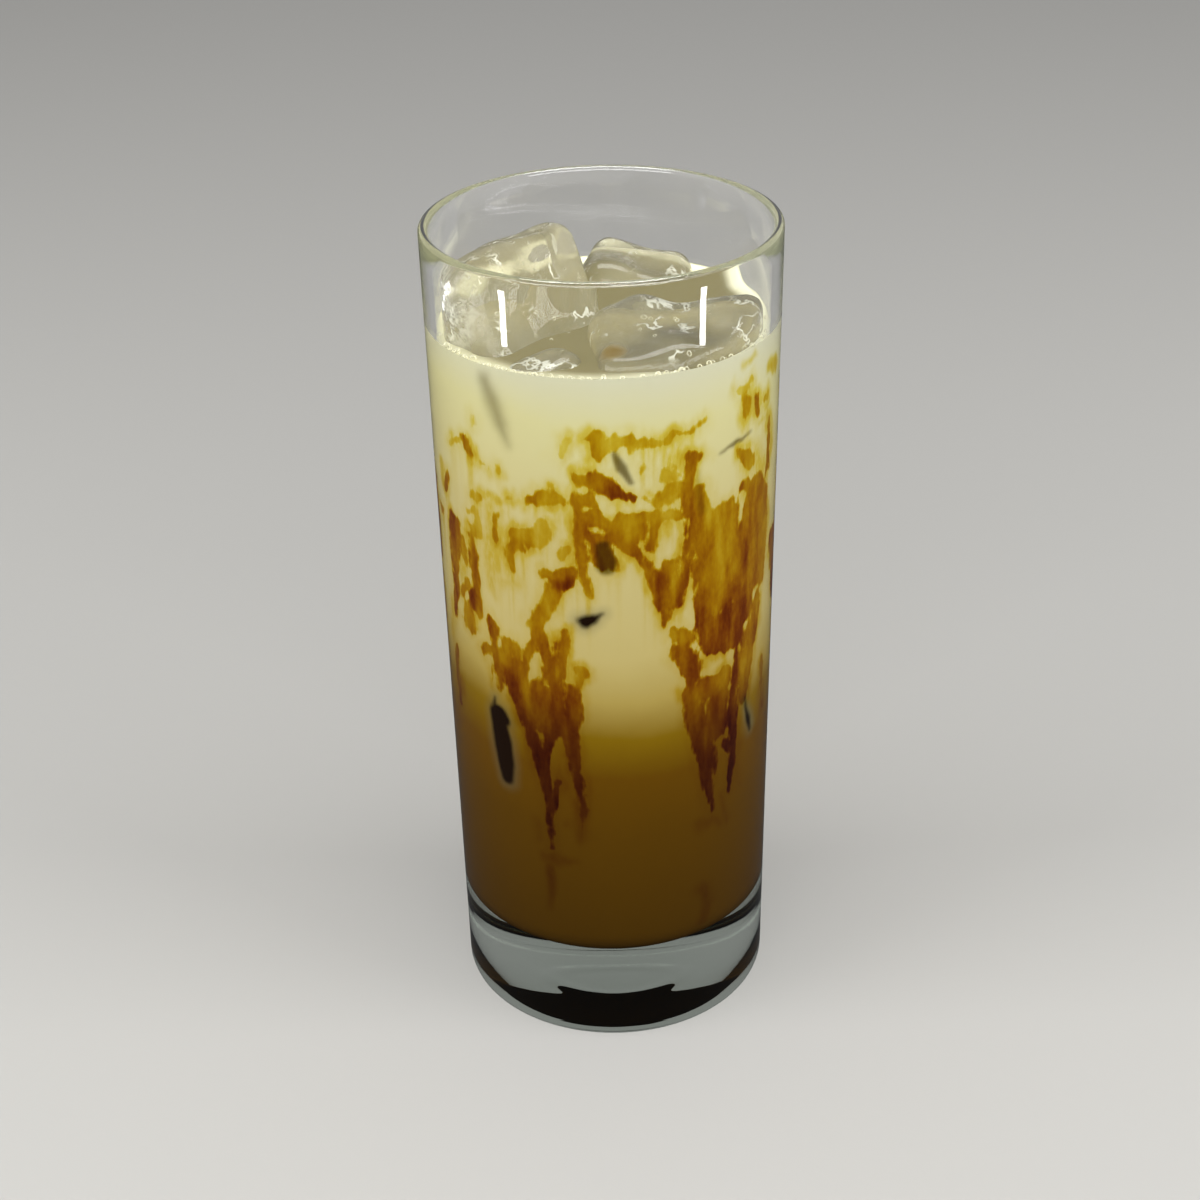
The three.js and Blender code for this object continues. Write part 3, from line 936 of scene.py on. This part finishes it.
def run_depth(arc, height, run):
    """How deep each place lies in a run: the half-width where the run is nearest, less the distance."""
    deepest = np.full(arc.shape, -CIRCUMFERENCE)
    for (arc_0, height_0, half_0), (arc_1, height_1, half_1) in zip(run, run[1:] or run):
        step = np.array((arc_1 - arc_0, height_1 - height_0))
        aside = (arc - arc_0 + CIRCUMFERENCE / 2) % CIRCUMFERENCE - CIRCUMFERENCE / 2
        above = height - height_0
        share = np.clip((aside * step[0] + above * step[1]) / max(step @ step, TINY), 0, 1)
        distance = np.hypot(aside - share * step[0], above - share * step[1])
        deepest = np.maximum(deepest, half_0 + (half_1 - half_0) * share - distance)
    return deepest


def soft_strength(arc, height, marks):
    """The strongest of several soft marks: each has its strength inside and fades over its softness."""
    strength = np.zeros(arc.shape)
    for most, softness, run in marks:
        inside = smooth_step(-softness, softness, run_depth(arc, height, run))
        strength = np.maximum(strength, most * inside)
    return strength


def drawn_rows(draw, count, ranges):
    """Rows of random numbers, each number drawn from its own range."""
    lows, highs = np.array(ranges).T
    return draw.uniform(lows, highs, (count, len(ranges)))


def back_caramel(seed):
    """Runs round the back, in the style of the front: dabs high up, falling legs and broad veils."""
    draw = np.random.default_rng(seed)
    back = CIRCUMFERENCE / 2
    runs = []
    for arc, height, slope, length, half, thickness in drawn_rows(draw, *DABS):
        dab = [
            (back + arc + along * length, height + rise * slope * length, half * wide)
            for along, rise, wide in DAB_SHAPE
        ]
        runs.append((thickness, dab))
    for arc, top, length, half, lean, thickness in drawn_rows(draw, *LEGS):
        leg = [
            (back + arc + aside * lean, top + lift - fall * length, half * wide)
            for (aside, fall, wide), lift in zip(LEG_SHAPE, LEG_LIFTS)
        ]
        runs.append((thickness, leg + [(back + arc + lean, top - length, LEG_TIP)]))
    aside, fall, narrow = VEIL_FALL
    for arc, top, half, thickness in drawn_rows(draw, *VEILS):
        veil = ((back + arc, top, half), (back + arc + aside, top - fall, half * narrow))
        runs.append((thickness, veil))
    return runs


def caramel_fields(arc, height, runs):
    """Depth inside the caramel in millimetres, and its thickness: each run's own, weighted by its depth."""
    depth = np.full(arc.shape, -CIRCUMFERENCE)
    total = np.zeros(arc.shape)
    weighted = np.zeros(arc.shape)
    for thickness, run in runs:
        inside = run_depth(arc, height, run)
        weight = np.exp(np.clip(inside, *DEPTH_LIMITS) * DEPTH_WEIGHT)
        depth = np.maximum(depth, inside)
        total += weight
        weighted += weight * thickness
    for window in BARE_WINDOWS:
        depth = np.minimum(depth, -run_depth(arc, height, window))
    return depth, weighted / total


def drawn_down(amount, height, length):
    """Sauce that has run down: each place takes the most of what lies above it, fading over a length."""
    carried = amount * np.exp(-height / length)
    most = np.maximum.accumulate(carried[::-1], axis=0)[::-1]
    return most * np.exp(height / length)


def wall_map(drink):
    """The numbers that the drink's material reads, on a grid once round the wall.

    Places are first pushed about by noise drawn out downwards, so that edges come out ragged. A thin film
    lies round the caramel and below it, where it has run down.
    """
    columns = round(CIRCUMFERENCE / MAP_CELL)
    rows = round((MAP_HIGH - MAP_LOW) / MAP_CELL)
    along = np.arange(columns) / columns * CIRCUMFERENCE
    arc, height = np.meshgrid(along, MAP_LOW + np.arange(rows) * MAP_CELL)
    push_arc = wall_noise(arc, height, PUSH_ALONG)
    push_up = wall_noise(arc, height, PUSH_UP)
    pushed = (arc + push_arc, height + push_up)
    runs = list(CARAMEL_RUNS) + back_caramel(drink.caramel_seed)
    depth, thickness = caramel_fields(*pushed, runs)
    depth = depth + wall_noise(arc, height, RAGGED) + CARAMEL_SPREAD
    amount = np.polyval(LAYER_GROWTH, thickness) * (1 + wall_noise(arc, height, MOTTLE))

    shortest, longer = RUN_LENGTHS
    length = shortest + longer * wall_noise(arc[:1], height[:1], RUN_NOISE) ** 2
    drawn = drawn_down(smooth_step(*RUN_DEPTH, depth) * np.minimum(amount, RUN_MOST), height, length)
    least, more = AROUND_SHARES
    patches = smooth_step(*PATCH_RANGE, wall_noise(arc, height, PATCH_NOISE))
    around = smooth_step(*AROUND_DEPTH, depth) * (least + more * patches) * np.minimum(amount, AROUND_MOST)
    film = np.maximum(RUN_SHARE * drawn * smooth_step(*RUN_HEIGHTS, height), around)

    sunk = np.full(arc.shape, -CIRCUMFERENCE)
    for run in SUNK_ICE:
        sunk = np.maximum(sunk, run_depth(arc + SUNK_PUSH * push_arc, height + SUNK_PUSH * push_up, run))
    return {
        "caramel": np.clip(depth, *MARK_LIMITS),
        "amount": amount,
        "film": np.maximum(film, soft_strength(*pushed, THIN_FILMS)),
        "sunk": np.clip(sunk, *MARK_LIMITS),
        "shadow": soft_strength(arc + SHADOW_PUSH * push_arc, height + SHADOW_PUSH * push_up, ICE_SHADOWS),
    }


def store(mesh, name, values):
    """Keeps a number for each of a mesh's points, for its material to read."""
    mesh.attributes.new(name, "FLOAT", "POINT").data.foreach_set("value", values.astype(np.float32))


def mark_drink(piece, glass, drink, marks):
    """Stores the wall's marks at a piece's points, with none at points away from the wall.

    The number pocket grows with the depth below the surface, most at the front: painted light that makes
    the painted shade under the ice paler there. Inside grows with the distance from the wall, slowly on the
    surface and at once in the ice's pockets, and only above coffee; it brings in that painted shade, with a
    wider pale ring of painted light along the wall at the front.
    """
    mesh = piece.data
    places = np.empty(len(mesh.vertices) * 3, np.float32)
    mesh.vertices.foreach_get("co", places)
    x, y, height = places.reshape(-1, 3).T.astype(float) / MM
    arc = WALL_RADIUS * np.arctan2(x, -y)
    from_wall = bore_radius(height, glass) - np.hypot(x, y)
    sunken = smooth_step(*SUNKEN, drink.level - height)
    narrow, wide = PAINTED_LIGHT_RING
    on_top = smooth_step(narrow, wide - y / RING_SLANT, from_wall)
    inside = np.maximum(on_top, sunken * smooth_step(*POCKET_RING, from_wall))
    store(mesh, "inside", inside * smooth_step(drink.layer_height, drink.level, height + sunken))
    store(mesh, "pocket", sunken * smooth_step(-POCKET_LIGHT_SPAN, POCKET_LIGHT_SPAN, -y))
    for name, field in marks.items():
        nothing = min(float(field.min()), 0.0)
        values = between_points(field, arc, (height - MAP_LOW) / MAP_CELL, False)
        store(mesh, name, np.where(from_wall < AT_WALL, values, nothing))


def layer_lift(points):
    """Lift of the surface between milk and coffee: two slow waves that cross."""
    across = np.sin((points[:, 0] + points[:, 1] / 2) / SWELL_LENGTH)
    along = np.cos((points[:, 1] - points[:, 0] / 2) / SWELL_LENGTH)
    return LAYER_SWELL * (across + along)


def fillet_centre(glass):
    """Centre (radius, height) of the fillet between the inside floor and the wall."""
    height = glass.floor_height + glass.floor_fillet
    return bore_radius(height, glass) - glass.floor_fillet, height


def glass_profile(glass):
    """The tumbler's outline (radius, height): underside with its ring, foot, wall, lip, bore and floor."""
    radius = np.linspace(0, glass.hollow_radius, UNDERSIDE_STEPS)
    hollow = glass.hollow_depth * (1 - (radius / glass.hollow_radius) ** 2)
    ripple = np.exp(-((radius - glass.ring_radius) / RING_WIDTH) ** 2)
    underside = np.stack([radius, hollow + glass.ring_depth * ripple], -1)
    foot = (glass.foot_radius - glass.foot_rounding, glass.foot_rounding)
    lip = glass.rim_wall / 2
    middle = (0, glass.floor_height)
    foot_arc = arc_points(foot, glass.foot_rounding, -90, 0)
    lip_arc = arc_points((RIM_RADIUS - lip, GLASS_HEIGHT - lip), lip, 0, 180)
    fillet = arc_points(fillet_centre(glass), glass.floor_fillet, 0, -90)
    under = line_points(underside[-1], foot_arc[0], FOOT_STEPS)
    outside = line_points(foot_arc[-1], lip_arc[0], WALL_STEPS)
    bore = line_points(lip_arc[-1], fillet[0], WALL_STEPS)
    floor = line_points(fillet[-1], middle, FLOOR_STEPS)
    return np.concatenate([underside, under, foot_arc, outside, lip_arc, bore, fillet, floor, [middle]])


def coffee_profile(glass, drink):
    """The coffee's outline: floor, fillet and wall, each reaching just into the glass, then to the axis."""
    bottom = (0, glass.floor_height - drink.reach)
    middle = (0, drink.layer_height)
    top = (bore_radius(drink.layer_height, glass) + drink.reach, drink.layer_height)
    fillet = arc_points(fillet_centre(glass), glass.floor_fillet + drink.reach, -90, 0)
    rows = round((drink.layer_height - fillet[-1][1]) / WALL_ROW)
    floor = line_points(bottom, fillet[0], INNER_RINGS)
    wall = line_points(fillet[-1], top, rows)
    inwards = line_points(top, middle, INNER_RINGS)
    return np.concatenate([[bottom], floor, fillet, wall, [top], inwards, [middle]])


def milk_height(inset, drink):
    """Height of the milk's surface, drawn up at the wall by a part that fades as e to minus distance."""
    return drink.level + (MILK_TOP - drink.level) * np.exp(-inset / DRAWN_UP)


def milk_profile(glass, drink):
    """The milk's outline: out from the axis, up the wall and back in along its surface."""
    middle = (0, drink.layer_height)
    bottom = (bore_radius(drink.layer_height, glass) + drink.reach, drink.layer_height)
    edge = (bore_radius(MILK_TOP, glass) + drink.reach, MILK_TOP)
    rows = round((MILK_TOP - drink.layer_height) / WALL_ROW)
    outwards = line_points(middle, bottom, INNER_RINGS)
    wall = line_points(bottom, edge, rows)
    inset = np.geomspace(FIRST_RING, edge[0], TOP_RINGS)[:-1]
    surface = np.stack([edge[0] - inset, milk_height(inset, drink)], -1)
    return np.concatenate([[middle], outwards, [bottom], wall, [edge], surface, [(0, drink.level)]])


def turns(*steps):
    """Rotations by an angle about a named axis, each in the frame that the ones before it have turned."""
    turned = Matrix.Identity(3)
    for axis, angle in steps:
        turned = turned @ Matrix.Rotation(angle, 3, axis)
    return turned


def block_turn(degrees):
    """A block's rotation by its heading about Z, its lean about its length and its roll about its depth."""
    return np.array(turns(*zip("ZXY", np.radians(degrees).tolist())))


def waves(places, wavelength, seed):
    """A smooth random field of about -1 to 1: sine waves in seeded directions and phases, summed."""
    draw = np.random.default_rng(seed)
    directions = draw.normal(size=(WAVES, 3))
    directions /= np.linalg.norm(directions, axis=-1, keepdims=True)
    directions *= 2 * math.pi / (wavelength * draw.uniform(*DENT_SPREAD, (WAVES, 1)))
    phases = draw.uniform(0, 2 * math.pi, WAVES)
    return np.sin(places @ directions.T + phases).sum(-1) / math.sqrt(WAVES)


def ice_distance(local, block, glass, ice):
    """Signed distance from a half-melted block, at places given in the block's own axes.

    A rounded box whose faces are dished by slow waves and small dents, kept inside the wall.
    """
    size, centre, degrees = block
    beyond = np.abs(local) - (np.array(size) / 2 - ice.rounding)
    outside = np.linalg.norm(np.maximum(beyond, 0), axis=-1)
    box = outside + np.minimum(beyond.max(-1), 0) - ice.rounding
    turn = 2 * math.pi / MELT_WAVELENGTH * local
    slow = np.sin(turn[..., 0] + centre[0]) * np.cos(turn[..., 1] - centre[0]) * np.sin(turn[..., 2])
    dished = box - ice.melt * slow - ice.dents * waves(local, DENT_WAVELENGTH, ice.seed)
    world = local @ block_turn(degrees).T + np.array(centre)
    wall = np.hypot(world[..., 0], world[..., 1]) - bore_radius(world[..., 2], glass) + ice.wall_gap
    overlap = np.maximum(WALL_ROUNDING - np.abs(dished - wall), 0)
    return np.maximum(dished, wall) + overlap**2 / (4 * WALL_ROUNDING)


def ice_points(block, glass, ice, grid, shrink=0.0):
    """A block's surface: in each direction from its centre, the place where its distance is minus shrink.

    Directions are a ball's points, stretched by the block's sizes; the place is found by halving.
    """
    size, centre, degrees = block
    directions = unit_ball(*grid) * np.array(size)
    directions /= np.linalg.norm(directions, axis=-1, keepdims=True)
    near = np.zeros(len(directions))
    far = np.full(len(directions), float(np.linalg.norm(size)))
    for _ in range(HALVINGS):
        middle = (near + far) / 2
        inside = ice_distance(directions * middle[:, None], block, glass, ice) < -shrink
        near = np.where(inside, middle, near)
        far = np.where(inside, far, middle)
    return directions * near[:, None] @ block_turn(degrees).T + np.array(centre)


def cut_pockets(milk, cutters):
    """Cuts the ice's room out of the milk, so that milk meets ice with no air between them."""
    for cutter in cutters:
        pocket = milk.modifiers.new(cutter.name, "BOOLEAN")
        pocket.operation = "DIFFERENCE"
        pocket.solver = "MANIFOLD"
        pocket.object = cutter
    evaluated = milk.evaluated_get(bpy.context.evaluated_depsgraph_get())
    cut = bpy.data.meshes.new_from_object(evaluated)
    whole = milk.data
    milk.modifiers.clear()
    milk.data = cut
    bpy.data.meshes.remove(whole)
    cut.name = milk.name
    for cutter in cutters:
        bpy.data.meshes.remove(cutter.data)


def linked(name):
    """The collection of pieces that some lights are kept to."""
    return bpy.data.collections.get(name) or bpy.data.collections.new(name)


def bubble_places(glass, drink, seed):
    """Centres and radii of bubbles: along the milk's edge, thickest at the front, and on its surface."""
    draw = np.random.default_rng(seed)
    arc = draw.normal(*BUBBLE_ARC, EDGE_BUBBLES)
    angle = np.concatenate([arc / WALL_RADIUS, draw.uniform(0, 2 * math.pi, FREE_BUBBLES)])
    at_edge = draw.exponential(EDGE_INSET, EDGE_BUBBLES)
    inset = np.concatenate([at_edge, draw.uniform(*FREE_INSET, FREE_BUBBLES)])
    size = draw.uniform(*BUBBLE_SIZE, EDGE_BUBBLES + FREE_BUBBLES)
    edge = bore_radius(MILK_TOP, glass) - size - inset
    return np.stack([edge * np.sin(angle), -edge * np.cos(angle), milk_height(inset, drink)], -1), size


def bubble_mesh(centres, sizes):
    """Points and faces of one small ball at each centre."""
    ball = unit_ball(BUBBLE_ROWS, BUBBLE_COLUMNS)
    points = centres[:, None] + sizes[:, None, None] * ball
    shift = np.arange(len(centres))[:, None, None] * len(ball)
    groups = ball_faces(BUBBLE_ROWS, BUBBLE_COLUMNS)
    faces = [(group + shift).reshape(-1, group.shape[1]) for group in groups]
    return points.reshape(-1, 3), faces


def dress(piece, slot, *nodes):
    """Lets a piece ride on the body and stand for CAD nodes, which are hidden; its slot is not used."""
    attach(piece, BODY)
    if nodes:
        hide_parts(*nodes)


class LATTE_OT_glass(bpy.types.Operator):
    """Turn the tumbler with its thick base, tapered wall and rounded lip"""

    bl_idname = "latte.glass"
    bl_label = "Glass"

    def execute(self, context):
        look = context.scene.latte_glass
        profile = glass_profile(millimetres(look))
        faces = ball_faces(len(profile) - 2, GLASS_COLUMNS)
        piece = new_piece("tumbler", turned_points(profile, GLASS_COLUMNS), faces, glass_material(look))
        piece.visible_diffuse = False
        linked(MIRRORS).objects.link(piece)
        dress(piece, "clear_glass", "glass")
        return {"FINISHED"}


class LATTE_OT_drink(bpy.types.Operator):
    """Fill the glass with coffee and milk, cut round the ice, and mark the caramel on the wall"""

    bl_idname = "latte.drink"
    bl_label = "Drink"

    def execute(self, context):
        scene = context.scene
        glass, drink, ice = map(millimetres, (scene.latte_glass, scene.latte_drink, scene.latte_ice))
        drink.caramel_seed = scene.latte_drink.caramel_seed
        ice.seed = scene.latte_ice.seed
        material = drink_material(scene.latte_drink)
        swelling = drink.layer_height
        coffee = self.layer("coffee", coffee_profile(glass, drink), swelling, glass.floor_height, material)
        milk = self.layer("milk", milk_profile(glass, drink), swelling, drink.level, material)
        faces = ball_faces(*POCKET_GRID)
        cutters = []
        for name, block in ICE_BLOCKS.items():
            points = ice_points(block, glass, ice, POCKET_GRID, ice.pocket)
            cutters.append(new_piece("room_for_" + name, points, faces, material))
        cut_pockets(milk, cutters)
        marks = wall_map(drink)
        for piece in (coffee, milk):
            mark_drink(piece, glass, drink, marks)
            linked(POURED).objects.link(piece)
            finish_shading(piece.data)
        dress(coffee, "coffee", "coffee_layer")
        dress(milk, "milk", "milk_layer")
        return {"FINISHED"}

    def layer(self, name, profile, swelling, flat, material):
        """A turned layer, lifted onto the swelling surface: fully at its height and not at all at flat."""
        points = turned_points(profile, DRINK_COLUMNS)
        share = np.clip((points[:, 2] - flat) / (swelling - flat), 0, 1)
        points[:, 2] += layer_lift(points) * share
        return new_piece(name, points, ball_faces(len(profile) - 2, DRINK_COLUMNS), material)


class LATTE_OT_ice(bpy.types.Operator):
    """Make the four blocks of clear ice that break the surface"""

    bl_idname = "latte.ice"
    bl_label = "Ice"

    def execute(self, context):
        glass, ice = map(millimetres, (context.scene.latte_glass, context.scene.latte_ice))
        ice.seed = context.scene.latte_ice.seed
        material = ice_material(context.scene.latte_ice)
        faces = ball_faces(*ICE_GRID)
        for name, block in ICE_BLOCKS.items():
            piece = new_piece(name + "_block", ice_points(block, glass, ice, ICE_GRID), faces, material)
            piece.visible_diffuse = False
            linked(MIRRORS).objects.link(piece)
            dress(piece, "ice", name)
        return {"FINISHED"}


class LATTE_OT_froth(bpy.types.Operator):
    """Set small bubbles along the edge of the milk and on its surface"""

    bl_idname = "latte.froth"
    bl_label = "Froth"

    def execute(self, context):
        scene = context.scene
        glass, drink = map(millimetres, (scene.latte_glass, scene.latte_drink))
        points, faces = bubble_mesh(*bubble_places(glass, drink, scene.latte_drink.froth_seed))
        piece = new_piece("bubbles", points, faces, froth_material(scene.latte_drink))
        dress(piece, "milk")
        return {"FINISHED"}


class LATTE_OT_stage(bpy.types.Operator):
    """Set the floor, the soft lights and the camera"""

    bl_idname = "latte.stage"
    bl_label = "Stage"

    def execute(self, context):
        scene = context.scene
        stage = scene.latte_stage
        self.floor(stage)
        self.world(scene, stage)
        self.area("key_light", KEY_LIGHT, stage.key)
        self.mirrored(self.area("lip_light", LIP_LIGHT, stage.lip))
        back = self.area("back_fill", BACK_LIGHT, stage.back)
        back.visible_glossy = False
        back.visible_transmission = False
        back.light_linking.receiver_collection = linked(POURED)
        for side, name in ((-1, "left"), (1, "right")):
            fill = self.area(name + "_fill", FILL_LIGHT, stage.fill, side)
            fill.visible_glossy = False
            strip = self.area(name + "_strip", STRIP_LIGHT, stage.strip, side)
            strip.data.spread = STRIP_SPREAD
            self.mirrored(strip)
        self.camera(scene, stage)
        scene.cycles.use_light_tree = False
        scene.cycles.max_bounces = BOUNCES
        scene.cycles.transmission_bounces = BOUNCES
        scene.cycles.glossy_bounces = BOUNCES
        scene.view_settings.view_transform = "Standard"
        return {"FINISHED"}

    def floor(self, stage):
        """A broad plain floor just under the foot."""
        material, start = new_material("floor")
        surface = painted(start, rgba(stage.floor), *FLOOR_SKIN)
        start.node("ShaderNodeOutputMaterial", {}, {"Surface": surface})
        signs = np.array([(-1, -1), (1, -1), (1, 1), (-1, 1)])
        corners = np.column_stack([signs * FLOOR_HALF, np.full(len(signs), -FLOOR_DROP)])
        floor = new_piece("floor", corners, [np.array([(0, 1, 2, 3)])], material)
        floor.visible_glossy = False

    def world(self, scene, stage):
        """Even light from above. Below the horizon, where only reflections look, it is nearly dark."""
        scene.world = bpy.data.worlds.new("studio")
        scene.world.use_nodes = True
        scene.world.node_tree.nodes.clear()
        start = Wire(scene.world.node_tree)
        below, above = (
            start.node("ShaderNodeBackground", {}, {"Color": WHITE, "Strength": strength})
            for strength in (stage.ground, stage.sky)
        )
        light = object_place(start, "Generated").axis("Z").rise(*HORIZON).between(below, above)
        start.node("ShaderNodeOutputWorld", {}, {"Surface": light})

    def area(self, name, light, power, side=1):
        """A rectangular light at a place or its mirror image, turned to a point, unseen by the camera."""
        (x, y, z), aim, size = light
        data = bpy.data.lights.new(name, "AREA")
        data.shape = "RECTANGLE"
        data.size, data.size_y = size
        data.energy = power
        lamp = bpy.data.objects.new(name, data)
        lamp.location = (side * x, y, z)
        lamp.rotation_euler = (Vector(aim) - lamp.location).to_track_quat("-Z", "Y").to_euler()
        lamp.visible_camera = False
        bpy.context.scene.collection.objects.link(lamp)
        return lamp

    def mirrored(self, light):
        """Lets a light show in clear surfaces only, without lighting anything."""
        light.visible_diffuse = False
        light.visible_transmission = False
        light.light_linking.receiver_collection = linked(MIRRORS)

    def camera(self, scene, stage):
        """The camera before and above the glass, turned down by its elevation, then by small angles."""
        data = bpy.data.cameras.new("camera")
        data.lens = stage.lens
        data.sensor_width = SENSOR_WIDTH
        data.clip_start = NEAREST
        camera = bpy.data.objects.new("camera", data)
        down = math.pi / 2 - stage.elevation
        turned = turns(("X", down), ("Y", stage.pan), ("X", stage.tilt), ("Z", stage.roll))
        camera.rotation_euler = turned.to_euler()
        away = -math.cos(stage.elevation) * stage.distance
        camera.location = (0, away, stage.aim_height + math.sin(stage.elevation) * stage.distance)
        scene.collection.objects.link(camera)
        scene.camera = camera


class LATTE_PT_panel(bpy.types.Panel):
    """Lists the steps that build the latte"""

    bl_idname = "LATTE_PT_panel"
    bl_label = "Latte"
    bl_space_type = "VIEW_3D"
    bl_region_type = "UI"
    bl_category = "Latte"

    def draw(self, context):
        for operator in OPERATORS:
            self.layout.operator(operator.bl_idname)


GROUPS = {
    "latte_glass": LatteGlass,
    "latte_drink": LatteDrink,
    "latte_ice": LatteIce,
    "latte_stage": LatteStage,
}
OPERATORS = (LATTE_OT_stage, LATTE_OT_glass, LATTE_OT_drink, LATTE_OT_ice, LATTE_OT_froth)
CLASSES = (*GROUPS.values(), *OPERATORS, LATTE_PT_panel)


def register():
    for item in CLASSES:
        bpy.utils.register_class(item)
    for name, group in GROUPS.items():
        setattr(bpy.types.Scene, name, PointerProperty(type=group))


def unregister():
    for name in GROUPS:
        delattr(bpy.types.Scene, name)
    for item in reversed(CLASSES):
        bpy.utils.unregister_class(item)


def main():
    register()
    bpy.ops.latte.stage()
    bpy.ops.latte.glass()
    bpy.ops.latte.drink()
    bpy.ops.latte.ice()
    bpy.ops.latte.froth()


if __name__ == "__main__":
    main()
